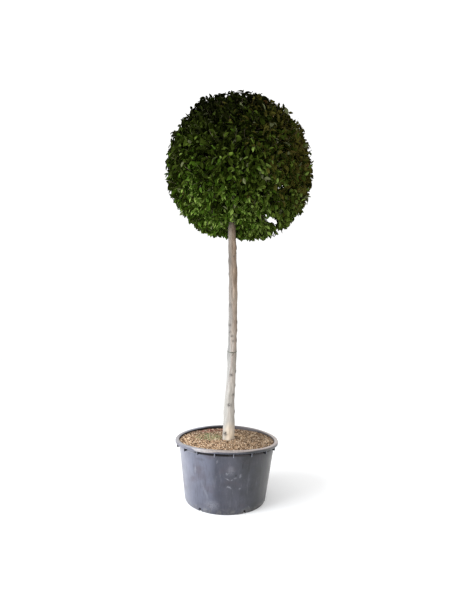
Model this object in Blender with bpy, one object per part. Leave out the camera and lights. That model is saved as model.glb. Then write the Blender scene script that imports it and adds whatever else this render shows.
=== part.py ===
"""A hornbeam clipped to a ball on a clear stem, growing in a round plastic nursery pot.

Metres, +Z up, front towards -Y. The origin is at the centre of the pot's flat underside.
Each sub-part is one object: pot, soil, trunk, tie and crown.
"""

import math
import random

import bmesh
import bpy
from mathutils import Matrix, Vector, noise

GAP = 0.0003  # left between pieces that touch
FRONT = math.radians(-90.0)  # the heading of -Y
GOLDEN_ANGLE = math.pi * (3.0 - math.sqrt(5.0))

# The pot
POT_HEIGHT = 0.539
FOOT_RADIUS = 0.366
RIM_RADIUS = 0.474
LIP_OVERHANG = 0.032  # from the wall to the lip's outer edge
LIP_HEIGHT = 0.026
LIP_ROUND = 0.009  # of the lip's outer top edge
WALL = 0.0055
FLOOR = 0.010
FOOT_BEVEL = 0.006
POT_SIDES = 60

# The gussets that stiffen the lip, and the drain slots in the foot's edge
GUSSET_COUNT = 19
GUSSET_FIRST = math.radians(8.0)  # from the front, towards +X
GUSSET_DEPTH = 0.024  # below the lip's skirt
GUSSET_TURN = 0.40  # of its depth, where its outer edge starts to slope in to the wall
GUSSET_THICKNESS = 0.005
DRAIN_COUNT = 6
DRAIN_FIRST = math.radians(-33.0)
DRAIN_WIDTH = 0.024
DRAIN_HEIGHT = 0.029
DRAIN_INNER_RADIUS = 0.305
DRAIN_ARCH_STEPS = 6

# The soil in the pot
SOIL_BELOW_RIM = 0.029
SOIL_CROWNING = 0.004  # the middle stands this much above the edge
SOIL_FLAT_RADIUS = 0.095  # level ground under the trunk
SOIL_RELIEF = 0.004
SOIL_RELIEF_SCALE = 9.0
SOIL_RINGS = 6

# The trunk: a slight bow to +X that leans back to -X as it rises
TRUNK_FOOT = POT_HEIGHT - SOIL_BELOW_RIM + SOIL_CROWNING + GAP
TRUNK_TIP = 2.820
BOW_HEIGHT = 1.320
BOW_OFFSET = 0.0238
BOW_BELOW = 0.052  # bend per square metre, below and above the bow
BOW_ABOVE = 0.0268
BOW_REACH = 0.440  # the stem is upright from this far below the bow
STEM_RADIUS = 0.0410
FLARE_RADIUS = 0.0145  # added at the foot, and gone a few hands up
FLARE_HEIGHT = 0.340
TIP_TAPER = 0.0055  # lost from STEM_RADIUS between the bow and the tip
ROOT_LOBES = 5
ROOT_LOBE_DEPTH = 0.050
ROOT_LOBE_HEIGHT = 0.050
ROOT_LOBE_TURN = 0.6
TRUNK_SWELL = 0.035
TRUNK_SWELL_SCALE = 1.3
TRUNK_SWELL_RISE = 4.2
TRUNK_SIDES = 20
TRUNK_FIRST_STEP = 0.016
TRUNK_STEP_GROWTH = 1.28
TRUNK_LAST_STEP = 0.105

# The tie round the trunk
TIE_HEIGHT = 1.328
TIE_THICKNESS = 0.0045
TIE_SIDES = 28
TIE_SECTION_SIDES = 6

# The crown: a clipped ball, a little flattened
CROWN_CENTRE = Vector((0.043, 0.0, 3.093))
CROWN_RADIUS = 0.738
CROWN_HALF_HEIGHT = 0.648
CROWN_LUMP_SCALE = 2.6
CROWN_LUMP_DEPTH = 0.016

# Where the shears left more or less: degrees from the front towards +X, degrees above the level,
# share of the radius, and reach in degrees
CROWN_BULGES = (
    (110, -53, 0.070, 22), (91, -26, 0.034, 19), (-35, 43, 0.042, 16), (45, 38, 0.012, 15),
    (-106, -48, 0.020, 24), (-97, -8, 0.010, 14), (74, 6, -0.022, 17), (175, 35, 0.026, 22),
    (-150, -15, 0.022, 24), (150, -10, -0.016, 20), (-160, 60, 0.018, 18),
    (16, 60, 0.020, 16), (-172, -61, -0.030, 16), (-64, 38, 0.022, 14),
)
CROWN_SEED = 417

# The dense middle that the leaves stand out of, hollowed from below round the trunk
CORE_SHARE = 0.838  # of the way to the outline
CORE_LUMP_SCALE = 5.5
CORE_LUMP_DEPTH = 0.028
CORE_SEGMENTS = 28
CORE_RINGS = 17
RECESS_SHARE = 0.62
RECESS_FULL = math.radians(13.0)
RECESS_END = math.radians(31.0)

# The gap at the lower right, where the sky shows: a flat channel through the ball
SKY_GAP_MIDDLE = Vector((0.338, 0.132, -0.409))  # from the crown's centre
SKY_GAP_AXIS = Vector((0.092, 0.923, 0.375)).normalized()
SKY_GAP_SIDE = Vector((0.82, 0.05, -0.33)).normalized()
SKY_GAP_HALF_WIDTH = 0.080
SKY_GAP_HALF_HEIGHT = 0.042
SKY_GAP_HOLLOW = 0.165  # the dense middle keeps this far from the channel's middle line

# The boughs and twigs inside the ball
LEADER_RADIUS = 0.0330
LEADER_LENGTH = 0.58
LEADER_SIDES = 8
LEADER_SAG = 0.012  # its middle leans back this far
LEADER_TAPER = (1.0, 0.7, 0.3)
BOUGH_COUNT = 13
BOUGH_RADIUS = 0.013
BOUGH_TAPER = (1.0, 0.75, 0.4)
BOUGH_ARCH = 0.05  # its middle rises this far
BOUGH_FIRST = 0.12  # along the leader, for the lowest bough and the highest
BOUGH_LAST = 0.92
BOUGH_SHARE = 0.66  # of the way to the outline
BOUGH_LOWEST = -0.62  # the sine of the lowest bough's heading, and of the highest
BOUGH_HIGHEST = 0.80
TWIG_COUNT = 150
TWIG_SIDES = 3
TWIG_RADIUS = 0.0052
TWIG_TAPER = 0.6
TWIG_STARTS = (0.35, 0.95)  # along the outer half of a bough
TWIG_SHARE = 0.930
TWIG_JITTER = 0.055
TRUNK_CLEARANCE = 0.012

# The leaves, each one standing for a small spray
LEAVES_PER_TWIG = 3
LEAF_TIP_SHARES = (0.970, 1.000)
LEAF_SPREADS = (0.140, 0.235)  # radians from the twig's heading to the leaf tip's
LEAF_TURN_STRAY = 0.35
LEAF_FALL = 0.055  # how far each tip drops towards the ground
LEAF_WIDTH_SHARE = 0.60
LEAF_THICKNESS_SHARE = 0.050
LEAF_WIDEST = 0.42
LEAF_ROOTS = (0.880, 0.905, 0.928)  # of the way to the outline, for each leaf of a twig


def clear_scene():
    for item in list(bpy.data.objects):
        bpy.data.objects.remove(item, do_unlink=True)


def plain_material(name, colour, roughness, metallic=0.0):
    material = bpy.data.materials.new(name)
    material.use_nodes = True
    shader = material.node_tree.nodes["Principled BSDF"]
    shader.inputs["Base Color"].default_value = (*colour, 1.0)
    shader.inputs["Roughness"].default_value = roughness
    shader.inputs["Metallic"].default_value = metallic
    material.diffuse_color = (*colour, 1.0)
    return material


def add_object(name, shape, material=None, smooth_to=None):
    """A new object from a bmesh, which is freed. smooth_to is the largest angle shaded smooth."""
    bmesh.ops.recalc_face_normals(shape, faces=shape.faces)
    mesh = bpy.data.meshes.new(name)
    shape.to_mesh(mesh)
    shape.free()
    if smooth_to is not None:
        mesh.shade_smooth()
        mesh.set_sharp_from_angle(angle=math.radians(smooth_to))
    if material is not None:
        mesh.materials.append(material)
    item = bpy.data.objects.new(name, mesh)
    bpy.context.scene.collection.objects.link(item)
    return item


def joined(name, items, solver="EXACT"):
    """The first object with all the others fused on, as plain mesh. The others are removed."""
    base, others = items[0], items[1:]
    group = bpy.data.collections.new(name + "_pieces")
    bpy.context.scene.collection.children.link(group)
    for item in others:
        bpy.context.scene.collection.objects.unlink(item)
        group.objects.link(item)
    fuse = base.modifiers.new("fuse", "BOOLEAN")
    fuse.operation = "UNION"
    fuse.solver = solver
    fuse.operand_type = "COLLECTION"
    fuse.collection = group
    apply_modifiers(base)
    for item in others:
        bpy.data.objects.remove(item, do_unlink=True)
    bpy.data.collections.remove(group)
    return base


def apply_modifiers(item):
    bpy.context.view_layer.update()
    evaluated = item.evaluated_get(bpy.context.evaluated_depsgraph_get())
    mesh = bpy.data.meshes.new_from_object(evaluated)
    item.modifiers.clear()
    item.data = mesh


def keep_largest_body(item):
    """Drop the loose scraps and the walls of sealed hollows, so that one solid is left."""
    shape = bmesh.new()
    shape.from_mesh(item.data)
    waiting = set(shape.faces)
    bodies = []
    while waiting:
        body = {waiting.pop()}
        edge = list(body)
        while edge:
            face = edge.pop()
            for side in face.edges:
                for neighbour in side.link_faces:
                    if neighbour in waiting:
                        waiting.remove(neighbour)
                        body.add(neighbour)
                        edge.append(neighbour)
        bodies.append(body)
    largest = max(bodies, key=len)
    scraps = [face for body in bodies if body is not largest for face in body]
    bmesh.ops.delete(shape, geom=scraps, context="FACES")
    shape.to_mesh(item.data)
    shape.free()


def turned(profile, sides, closed=False):
    """A solid of revolution about Z from (radius, height) points."""
    shape = bmesh.new()
    points = [shape.verts.new((radius, 0.0, height)) for radius, height in profile]
    pairs = list(zip(points, points[1:]))
    if closed:
        pairs.append((points[-1], points[0]))
    edges = [shape.edges.new(pair) for pair in pairs]
    bmesh.ops.spin(shape, geom=points + edges, cent=(0, 0, 0), axis=(0, 0, 1),
                   angle=math.tau, steps=sides, use_duplicate=False)
    bmesh.ops.remove_doubles(shape, verts=shape.verts, dist=0.00001)
    return shape


def extruded(outline, thickness):
    """A flat outline of (x, z) points, given a thickness along Y and centred on it."""
    shape = bmesh.new()
    near = [shape.verts.new((x, -thickness / 2, z)) for x, z in outline]
    face = shape.faces.new(near)
    swept = bmesh.ops.extrude_face_region(shape, geom=[face])
    moved = [part for part in swept["geom"] if isinstance(part, bmesh.types.BMVert)]
    bmesh.ops.translate(shape, verts=moved, vec=(0, thickness, 0))
    return shape


def lofted(rings):
    """A limb skinned over rings of points, with a flat face at each end."""
    shape = bmesh.new()
    loops = [[shape.verts.new(point) for point in ring] for ring in rings]
    for lower, upper in zip(loops, loops[1:]):
        for index in range(len(lower)):
            after = (index + 1) % len(lower)
            shape.faces.new((lower[index], lower[after], upper[after], upper[index]))
    shape.faces.new(list(reversed(loops[0])))
    shape.faces.new(loops[-1])
    return shape


def wall_radius(height):
    """The pot wall's outer radius."""
    flare = (RIM_RADIUS - LIP_OVERHANG - FOOT_RADIUS) / (POT_HEIGHT - LIP_HEIGHT)
    return FOOT_RADIUS + flare * height


def pot_profile():
    """The pot's section, from the middle of the underside out, up, over the lip and in again."""
    plate_under = POT_HEIGHT - WALL
    skirt_inner = RIM_RADIUS - WALL
    skirt_foot = POT_HEIGHT - LIP_HEIGHT
    mouth_height = POT_HEIGHT - LIP_ROUND
    mouth_radius = wall_radius(mouth_height) - WALL
    profile = [
        (0.0, 0.0),
        (FOOT_RADIUS - FOOT_BEVEL, 0.0),
        (wall_radius(FOOT_BEVEL), FOOT_BEVEL),
        (wall_radius(plate_under), plate_under),
        (skirt_inner, plate_under),
        (skirt_inner, skirt_foot),
        (RIM_RADIUS, skirt_foot),
    ]
    for step in range(4):
        turn = math.radians(30.0 * step)
        profile.append((RIM_RADIUS - LIP_ROUND * (1 - math.cos(turn)),
                        POT_HEIGHT - LIP_ROUND * (1 - math.sin(turn))))
    for step in range(3):
        turn = math.radians(45.0 * step)
        profile.append((mouth_radius + LIP_ROUND * (1 - math.sin(turn)),
                        POT_HEIGHT - LIP_ROUND * (1 - math.cos(turn))))
    profile.append((wall_radius(FLOOR) - WALL, FLOOR))
    profile.append((0.0, FLOOR))
    return profile


def add_gusset(turn):
    """A radial plate that stiffens the lip, from inside the wall to inside the skirt."""
    low = POT_HEIGHT - LIP_HEIGHT - GUSSET_DEPTH
    outer = RIM_RADIUS - WALL / 2
    top = POT_HEIGHT - WALL / 2
    plate = extruded([
        (wall_radius(low) - WALL / 2, low),
        (wall_radius(low) + WALL / 2, low),
        (outer - WALL / 2, low + GUSSET_DEPTH * GUSSET_TURN),
        (outer, POT_HEIGHT - LIP_HEIGHT + WALL / 2),
        (outer, top),
        (wall_radius(top) - WALL / 2, top),
    ], GUSSET_THICKNESS)
    bmesh.ops.rotate(plate, verts=plate.verts, matrix=Matrix.Rotation(FRONT + turn, 3, "Z"))
    return add_object("gusset", plate)


def add_drain_cutter(turn):
    """An arch that is pushed in through the foot's edge, and out through the floor below."""
    arch_radius = DRAIN_WIDTH / 2
    outline = [(-arch_radius, -FLOOR), (arch_radius, -FLOOR)]
    for step in range(DRAIN_ARCH_STEPS + 1):
        angle = math.pi * step / DRAIN_ARCH_STEPS
        outline.append((arch_radius * math.cos(angle),
                        DRAIN_HEIGHT - arch_radius + arch_radius * math.sin(angle)))
    reach = FOOT_RADIUS + WALL * 4 - DRAIN_INNER_RADIUS
    cutter = extruded(outline, reach)
    bmesh.ops.translate(cutter, verts=cutter.verts, vec=(0, -DRAIN_INNER_RADIUS - reach / 2, 0))
    bmesh.ops.rotate(cutter, verts=cutter.verts, matrix=Matrix.Rotation(turn, 3, "Z"))
    return add_object("drain_cutter", cutter)


def add_pot():
    plastic = plain_material("blue_grey_plastic", (0.115, 0.125, 0.165), 0.38)
    pot = add_object("pot", turned(pot_profile(), POT_SIDES), plastic)
    gussets = [add_gusset(GUSSET_FIRST + math.tau * index / GUSSET_COUNT)
               for index in range(GUSSET_COUNT)]
    pot = joined("pot", [pot, *gussets])
    for index in range(DRAIN_COUNT):
        cutter = add_drain_cutter(DRAIN_FIRST + math.tau * index / DRAIN_COUNT)
        cut = pot.modifiers.new("drain", "BOOLEAN")
        cut.operation = "DIFFERENCE"
        cut.object = cutter
        apply_modifiers(pot)
        bpy.data.objects.remove(cutter, do_unlink=True)
    pot.data.shade_smooth()
    pot.data.set_sharp_from_angle(angle=math.radians(28.0))
    return pot


def soil_height(x, y):
    """The soil's surface: level round the trunk, then gently uneven and lower at the wall."""
    reach = math.hypot(x, y)
    edge = wall_radius(POT_HEIGHT - SOIL_BELOW_RIM) - WALL
    share = max(0.0, (reach - SOIL_FLAT_RADIUS) / (edge - SOIL_FLAT_RADIUS))
    place = Vector((x, y, 0.0)) * SOIL_RELIEF_SCALE
    uneven = noise.noise(place) * SOIL_RELIEF * min(1.0, share * 4.0)
    level = POT_HEIGHT - SOIL_BELOW_RIM + SOIL_CROWNING * (1.0 - share * share)
    return level + min(uneven, 0.0)


def add_soil():
    """The soil fills the pot from its floor to the level below the rim."""
    low = FLOOR + GAP
    level = POT_HEIGHT - SOIL_BELOW_RIM
    edge = wall_radius(level) - WALL - GAP
    profile = [(0.0, low), (wall_radius(low) - WALL - GAP, low), (edge, level)]
    for ring in range(SOIL_RINGS + 1):
        share = 1.0 - ring / SOIL_RINGS
        profile.append((SOIL_FLAT_RADIUS + (edge - SOIL_FLAT_RADIUS) * share * 0.985, level))
    profile.append((0.0, level))
    shape = turned(profile, POT_SIDES)
    for vert in shape.verts:
        if vert.co.z > level - GAP and math.hypot(vert.co.x, vert.co.y) < edge - GAP:
            vert.co.z = soil_height(vert.co.x, vert.co.y)
    brown = plain_material("soil", (0.300, 0.200, 0.120), 0.95)
    return add_object("soil", shape, brown, smooth_to=40.0)


def trunk_centre(height):
    """The trunk's centre line, which bows to one side and leans back."""
    away = max(height - BOW_HEIGHT, -BOW_REACH)
    bend = BOW_BELOW if away < 0 else BOW_ABOVE
    return Vector((BOW_OFFSET - bend * away * away, 0.0, height))


def trunk_radius(height):
    """The trunk's mean radius, with the flare at its foot and its slight taper."""
    above = height - TRUNK_FOOT
    flare = FLARE_RADIUS * math.exp(-((above / FLARE_HEIGHT) ** 2))
    taper = TIP_TAPER * max(0.0, (height - BOW_HEIGHT) / (TRUNK_TIP - BOW_HEIGHT)) ** 2
    return STEM_RADIUS + flare - taper


def trunk_swell(height, turn):
    """How far the bark stands out of or into the mean radius, as a share."""
    around = Vector((math.cos(turn) * TRUNK_SWELL_SCALE, math.sin(turn) * TRUNK_SWELL_SCALE,
                     height * TRUNK_SWELL_RISE))
    lobes = ROOT_LOBE_DEPTH * math.exp(-(height - TRUNK_FOOT) / ROOT_LOBE_HEIGHT)
    return TRUNK_SWELL * noise.noise(around) + lobes * math.cos(ROOT_LOBES * turn + ROOT_LOBE_TURN)


def trunk_heights():
    """Ring heights, close together at the flare and wide apart above it."""
    heights = [TRUNK_FOOT]
    step = TRUNK_FIRST_STEP
    while heights[-1] + step * 1.5 < TRUNK_TIP:
        heights.append(heights[-1] + step)
        step = min(step * TRUNK_STEP_GROWTH, TRUNK_LAST_STEP)
    heights.append(TRUNK_TIP)
    return heights


def trunk_ring(height):
    ring = []
    for side in range(TRUNK_SIDES):
        turn = math.tau * side / TRUNK_SIDES
        reach = trunk_radius(height) * (1.0 + trunk_swell(height, turn))
        ring.append(trunk_centre(height) + Vector((math.cos(turn), math.sin(turn), 0.0)) * reach)
    return ring


def add_trunk():
    bark = plain_material("bark", (0.430, 0.390, 0.340), 0.80)
    shape = lofted([trunk_ring(height) for height in trunk_heights()])
    return add_object("trunk", shape, bark, smooth_to=50.0)


def add_tie():
    """A thin ring round the trunk, as wide as the bark's widest swell at its height."""
    centre = trunk_centre(TIE_HEIGHT)
    nearby = [TIE_HEIGHT - TRUNK_LAST_STEP, TIE_HEIGHT, TIE_HEIGHT + TRUNK_LAST_STEP]
    widest = max((point - trunk_centre(height)).xy.length
                 for height in nearby for point in trunk_ring(height))
    middle = widest + GAP + TIE_THICKNESS / 2
    profile = []
    for step in range(TIE_SECTION_SIDES):
        turn = math.tau * step / TIE_SECTION_SIDES
        profile.append((middle + TIE_THICKNESS / 2 * math.cos(turn),
                        TIE_THICKNESS / 2 * math.sin(turn)))
    shape = turned(profile, TIE_SIDES, closed=True)
    bmesh.ops.translate(shape, verts=shape.verts, vec=centre)
    dark = plain_material("tie", (0.030, 0.032, 0.030), 0.60)
    return add_object("tie", shape, dark, smooth_to=70.0)


def bulge_share(heading):
    """How far the crown's bulges and dents move its outline there, as a share."""
    total = 0.0
    for turn, rise, share, reach in CROWN_BULGES:
        turn, rise, reach = FRONT + math.radians(turn), math.radians(rise), math.radians(reach)
        middle = Vector((math.cos(turn) * math.cos(rise), math.sin(turn) * math.cos(rise), math.sin(rise)))
        total += share * math.exp(-2.0 * (1.0 - heading.dot(middle)) / (reach * reach))
    return total


def crown_outline(heading):
    """How far the clipped outline lies from the crown's centre, along a unit heading."""
    flat = math.hypot(heading.x, heading.y) / CROWN_RADIUS
    upright = heading.z / CROWN_HALF_HEIGHT
    lump = noise.noise(heading * CROWN_LUMP_SCALE) * CROWN_LUMP_DEPTH
    return (1.0 - abs(lump) + bulge_share(heading)) / math.hypot(flat, upright)


def crown_share(point):
    """Where a point lies between the crown's centre, 0, and its outline, 1."""
    offset = point - CROWN_CENTRE
    return offset.length / crown_outline(offset.normalized())


def core_reach(heading):
    """How far the dense middle goes along a heading, hollowed for the trunk and the sky gap."""
    to_trunk = trunk_centre(CROWN_CENTRE.z - CROWN_HALF_HEIGHT) - CROWN_CENTRE
    angle = heading.angle(to_trunk)
    blend = min(1.0, max(0.0, (RECESS_END - angle) / (RECESS_END - RECESS_FULL)))
    hollow = RECESS_SHARE * blend * blend * (3.0 - 2.0 * blend)
    lump = noise.noise(heading * CORE_LUMP_SCALE) * CORE_LUMP_DEPTH
    reach = crown_outline(heading) * (CORE_SHARE + lump) * (1.0 - hollow)
    from_gap = heading * reach - SKY_GAP_MIDDLE
    off_axis = (from_gap - SKY_GAP_AXIS * from_gap.dot(SKY_GAP_AXIS)).length
    return reach - max(0.0, SKY_GAP_HOLLOW - off_axis)


def spread_headings(count):
    """Unit headings spread evenly all round."""
    for index in range(count):
        height = 1.0 - (2.0 * index + 1.0) / count
        flat = math.sqrt(1.0 - height * height)
        turn = index * GOLDEN_ANGLE
        yield Vector((flat * math.cos(turn), flat * math.sin(turn), height))


def in_sky_gap(point):
    """Whether a point is in the channel that lets the sky through."""
    offset = point - CROWN_CENTRE - SKY_GAP_MIDDLE
    along = SKY_GAP_SIDE - SKY_GAP_AXIS * SKY_GAP_SIDE.dot(SKY_GAP_AXIS)
    side = offset.dot(along.normalized()) / SKY_GAP_HALF_WIDTH
    rise = offset.dot(SKY_GAP_AXIS.cross(along).normalized()) / SKY_GAP_HALF_HEIGHT
    return math.hypot(side, rise) < 1.0


def touches_trunk(point):
    if point.z > TRUNK_TIP + TRUNK_CLEARANCE:
        return False
    keep_off = trunk_radius(point.z) * (1.0 + TRUNK_SWELL) + TRUNK_CLEARANCE
    return (point - trunk_centre(point.z)).xy.length < keep_off


def fits(points):
    """Whether a twig or leaf through these points keeps to the crown's own space."""
    return not any(crown_share(point) > 1.0 or in_sky_gap(point) or touches_trunk(point)
                   for point in points)


def between(start, end, share):
    return start + (end - start) * share


def tapering_limb(points, radii, sides):
    """A limb along a path, as a bmesh, with rings square to the path."""
    rings = []
    for index, (point, radius) in enumerate(zip(points, radii)):
        ahead = points[min(index + 1, len(points) - 1)] - points[max(index - 1, 0)]
        level = Vector((0, 0, 1)).cross(ahead)
        if level.length < 0.001:
            level = Vector((1, 0, 0))
        level.normalize()
        upright = ahead.cross(level).normalized()
        rings.append([point + (level * math.cos(turn) + upright * math.sin(turn)) * radius
                      for turn in (math.tau * side / sides for side in range(sides))])
    return lofted(rings)


def add_leader():
    """The crown's own stem, which goes on from the trunk's tip."""
    foot = trunk_centre(TRUNK_TIP) + Vector((0, 0, GAP))
    tip = foot + Vector((CROWN_CENTRE.x - foot.x, 0, LEADER_LENGTH))
    points = [foot, between(foot, tip, 0.5) - Vector((LEADER_SAG, 0, 0)), tip]
    turns = [math.tau * side / LEADER_SIDES for side in range(LEADER_SIDES)]
    rings = [[point + Vector((math.cos(turn), math.sin(turn), 0)) * LEADER_RADIUS * share
              for turn in turns]
             for point, share in zip(points, LEADER_TAPER)]
    return add_object("leader", lofted(rings)), points


def bough_paths(leader):
    """Each bough's path, as start, bend and end: round the leader by the golden angle."""
    paths = []
    for index in range(BOUGH_COUNT):
        share = index / (BOUGH_COUNT - 1)
        height = BOUGH_LOWEST + (BOUGH_HIGHEST - BOUGH_LOWEST) * share
        flat = math.sqrt(1.0 - height * height)
        turn = index * GOLDEN_ANGLE
        heading = Vector((flat * math.cos(turn), flat * math.sin(turn), height))
        start = between(leader[0], leader[-1], BOUGH_FIRST + (BOUGH_LAST - BOUGH_FIRST) * share)
        end = CROWN_CENTRE + heading * crown_outline(heading) * BOUGH_SHARE
        bend = between(start, end, 0.5) + Vector((0, 0, BOUGH_ARCH))
        paths.append((start, bend, end))
    return paths


def twig_path(heading, boughs, chance):
    """A twig from the nearest bough to just inside the outline."""
    end = CROWN_CENTRE + heading * crown_outline(heading) * TWIG_SHARE
    bough = min(boughs, key=lambda path: (path[2] - end).length)
    start = between(bough[1], bough[2], chance.uniform(*TWIG_STARTS))
    return start, end


def leaf_corners(root, tip, outward):
    """A leaf's root, its tip, its two widest corners and the top of its midrib."""
    ahead = tip - root
    side = ahead.cross(outward).normalized() * ahead.length * LEAF_WIDTH_SHARE / 2
    rise = side.cross(ahead).normalized() * ahead.length * LEAF_THICKNESS_SHARE
    widest = between(root, tip, LEAF_WIDEST)
    return [root, tip, widest - side, widest + side, widest + rise]


def leaf_shape(corners):
    """A pointed blade, ridged along its midrib above and creased across below."""
    shape = bmesh.new()
    base, end, left, right, ridge = [shape.verts.new(point) for point in corners]
    for near, far in ((base, right), (right, end), (end, left), (left, base)):
        shape.faces.new((near, far, ridge))
    shape.faces.new((base, left, right))
    shape.faces.new((left, end, right))
    return shape


def add_spray(heading, boughs, chance):
    """A twig and the leaves round it, as loose objects. A leaf with no room is skipped."""
    start, end = twig_path(heading, boughs, chance)
    if not fits([between(start, end, 0.75), end]):
        return []
    twig = tapering_limb([start, end], [TWIG_RADIUS, TWIG_RADIUS * TWIG_TAPER], TWIG_SIDES)
    pieces = [add_object("twig", twig)]
    level = heading.orthogonal().normalized()
    first_turn = chance.uniform(0.0, math.tau)
    for index in range(LEAVES_PER_TWIG):
        stray = chance.uniform(-LEAF_TURN_STRAY, LEAF_TURN_STRAY)
        turn = first_turn + math.tau * index / LEAVES_PER_TWIG + stray
        aside = Matrix.Rotation(turn, 3, heading) @ level
        tip_heading = heading + aside * math.tan(chance.uniform(*LEAF_SPREADS))
        tip_heading = (tip_heading - Vector((0, 0, LEAF_FALL))).normalized()
        level_point = between(CROWN_CENTRE, end, LEAF_ROOTS[index] / TWIG_SHARE)
        root = nearest_on(start, end, level_point)
        reach = crown_outline(tip_heading) * chance.uniform(*LEAF_TIP_SHARES)
        corners = leaf_corners(root, CROWN_CENTRE + tip_heading * reach, heading)
        if fits(corners[1:]):
            pieces.append(add_object("leaf", leaf_shape(corners)))
    return pieces


def nearest_on(start, end, point):
    """The point of a straight twig nearest to another point, short of the twig's tip."""
    ahead = end - start
    share = (point - start).dot(ahead) / ahead.length_squared
    return between(start, end, min(0.985, max(0.0, share)))


def add_core():
    shape = bmesh.new()
    bmesh.ops.create_uvsphere(shape, u_segments=CORE_SEGMENTS, v_segments=CORE_RINGS, radius=1.0)
    for vert in shape.verts:
        heading = vert.co.normalized()
        vert.co = CROWN_CENTRE + heading * core_reach(heading)
    return add_object("crown", shape)


def add_crown():
    chance = random.Random(CROWN_SEED)
    core = add_core()
    leader, leader_points = add_leader()
    boughs = bough_paths(leader_points)
    pieces = [core, leader]
    for path in boughs:
        limb = tapering_limb(path, [BOUGH_RADIUS * share for share in BOUGH_TAPER], TWIG_SIDES)
        pieces.append(add_object("bough", limb))
    for heading in spread_headings(TWIG_COUNT):
        stray = Vector([chance.gauss(0.0, TWIG_JITTER) for _ in range(3)])
        pieces.extend(add_spray((heading + stray).normalized(), boughs, chance))
    crown = joined("crown", pieces, solver="MANIFOLD")
    keep_largest_body(crown)
    green = plain_material("leaves", (0.055, 0.085, 0.020), 0.60)
    crown.data.materials.clear()
    crown.data.materials.append(green)
    return crown


def build():
    clear_scene()
    add_pot()
    add_soil()
    add_trunk()
    add_tie()
    add_crown()


build()
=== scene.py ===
"""The looks of the potted hornbeam: pot, soil, bark, tie, boughs, twigs and leaves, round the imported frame.

Metres, +Z up, front towards -Y. The tree's sizes and its rule of growth are the same as in the part's source,
carried on here to finer twigs and to leaves of about their real size.
"""

import collections
import math
import random

import bmesh
import bpy
import numpy as np
from mathutils import Matrix, Vector, noise
from mathutils.kdtree import KDTree


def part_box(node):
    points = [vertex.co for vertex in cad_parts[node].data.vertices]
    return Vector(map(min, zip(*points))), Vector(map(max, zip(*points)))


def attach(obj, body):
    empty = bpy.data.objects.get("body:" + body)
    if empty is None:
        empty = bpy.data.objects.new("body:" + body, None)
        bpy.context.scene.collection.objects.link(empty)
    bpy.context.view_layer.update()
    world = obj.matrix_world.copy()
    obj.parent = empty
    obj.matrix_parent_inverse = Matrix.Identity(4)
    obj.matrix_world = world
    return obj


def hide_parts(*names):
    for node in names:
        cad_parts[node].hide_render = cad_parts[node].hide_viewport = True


GAP = 0.0003
FRONT = math.radians(-90.0)  # the heading of -Y
GOLDEN_ANGLE = math.pi * (3.0 - math.sqrt(5.0))

# The photograph's frame and its camera
PHOTO_WIDTH = 475
PHOTO_HEIGHT = 600
EYE = Vector((0.05, -3.20, 1.33))
EYE_TILT = math.radians(4.8)
EYE_ROLL = math.radians(1.7)
FOCAL_PIXELS = 334.3
OPTICAL_CENTRE = (235.7, 323.2)
SENSOR = 36.0
FLOOR_HALF = 30.0

# The pot
LIP_OVERHANG = 0.032
LIP_HEIGHT = 0.026
LIP_ROUND = 0.009
WALL = 0.0055
FLOOR = 0.010
FOOT_RADIUS = 0.366
FOOT_STEP = 0.003
FOOT_STEP_HEIGHT = 0.009
FOOT_ROUND = 0.003
CHAMFER = 0.001
FLOOR_ROUND = 0.006  # where the wall meets the floor inside
POT_SIDES = 180
POT_WALL_STEPS = 14
SIDE_SAG = 0.017  # how far the rim sinks at the pot's two sides under its load
SAG_FOOT = 0.30  # and the height it starts from
GUSSET_COUNT = 19
GUSSET_FIRST = math.radians(8.0)
GUSSET_DEPTH = 0.030
GUSSET_RISE = 0.006  # of its lower edge, from the skirt in to the wall
GUSSET_THICKNESS = 0.005
GUSSET_EDGE = 0.0005
DRAIN_COUNT = 6
DRAIN_FIRST = math.radians(-33.0)
DRAIN_WIDTH = 0.024
DRAIN_HEIGHT = 0.029
DRAIN_INNER_RADIUS = 0.305
DRAIN_ARCH_STEPS = 12

# Marks on the wall's front: middle, degrees up to the right, length, half width, strength
PALE_MARKS = (
    ((0.020, -0.409, 0.300), -31, 0.060, 0.0055, 0.75), ((0.055, -0.405, 0.292), 34, 0.024, 0.0060, 0.65),
    ((0.083, -0.402, 0.307), 8, 0.038, 0.0090, 0.50), ((0.125, -0.395, 0.323), 75, 0.046, 0.0120, 0.55),
    ((0.041, -0.396, 0.231), -42, 0.048, 0.0070, 0.75), ((0.022, -0.398, 0.238), 48, 0.030, 0.0065, 0.70),
    ((0.035, -0.398, 0.235), 0, 0.036, 0.0100, 0.55), ((0.016, -0.416, 0.344), 80, 0.032, 0.0150, 0.60),
    ((0.046, -0.417, 0.368), 84, 0.100, 0.0420, 0.34),
    ((-0.249, -0.333, 0.344), 84, 0.070, 0.0110, 0.50), ((-0.160, -0.360, 0.180), -64, 0.210, 0.0140, 0.26),
    ((0.122, -0.378, 0.218), 20, 0.026, 0.0100, 0.55), ((-0.066, -0.426, 0.440), 70, 0.044, 0.0110, 0.35),
    ((-0.128, -0.358, 0.082), 80, 0.044, 0.0090, 0.55), ((-0.156, -0.340, 0.030), 10, 0.050, 0.0100, 0.65),
    ((0.205, -0.335, 0.045), -60, 0.050, 0.0080, 0.35), ((-0.105, -0.360, 0.075), 8, 0.170, 0.0550, 0.42),
)
DARK_MARKS = (
    ((0.142, -0.401, 0.404), 84, 0.080, 0.0110, 0.75), ((0.194, -0.377, 0.396), 88, 0.110, 0.0120, 0.75),
    ((0.089, -0.404, 0.330), 50, 0.024, 0.0080, 0.85), ((0.010, -0.398, 0.255), 0, 0.150, 0.0300, 0.30),
    ((0.240, -0.340, 0.250), 86, 0.360, 0.0500, 0.30), ((-0.205, -0.376, 0.440), 0, 0.100, 0.0160, 0.30),
)

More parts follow.
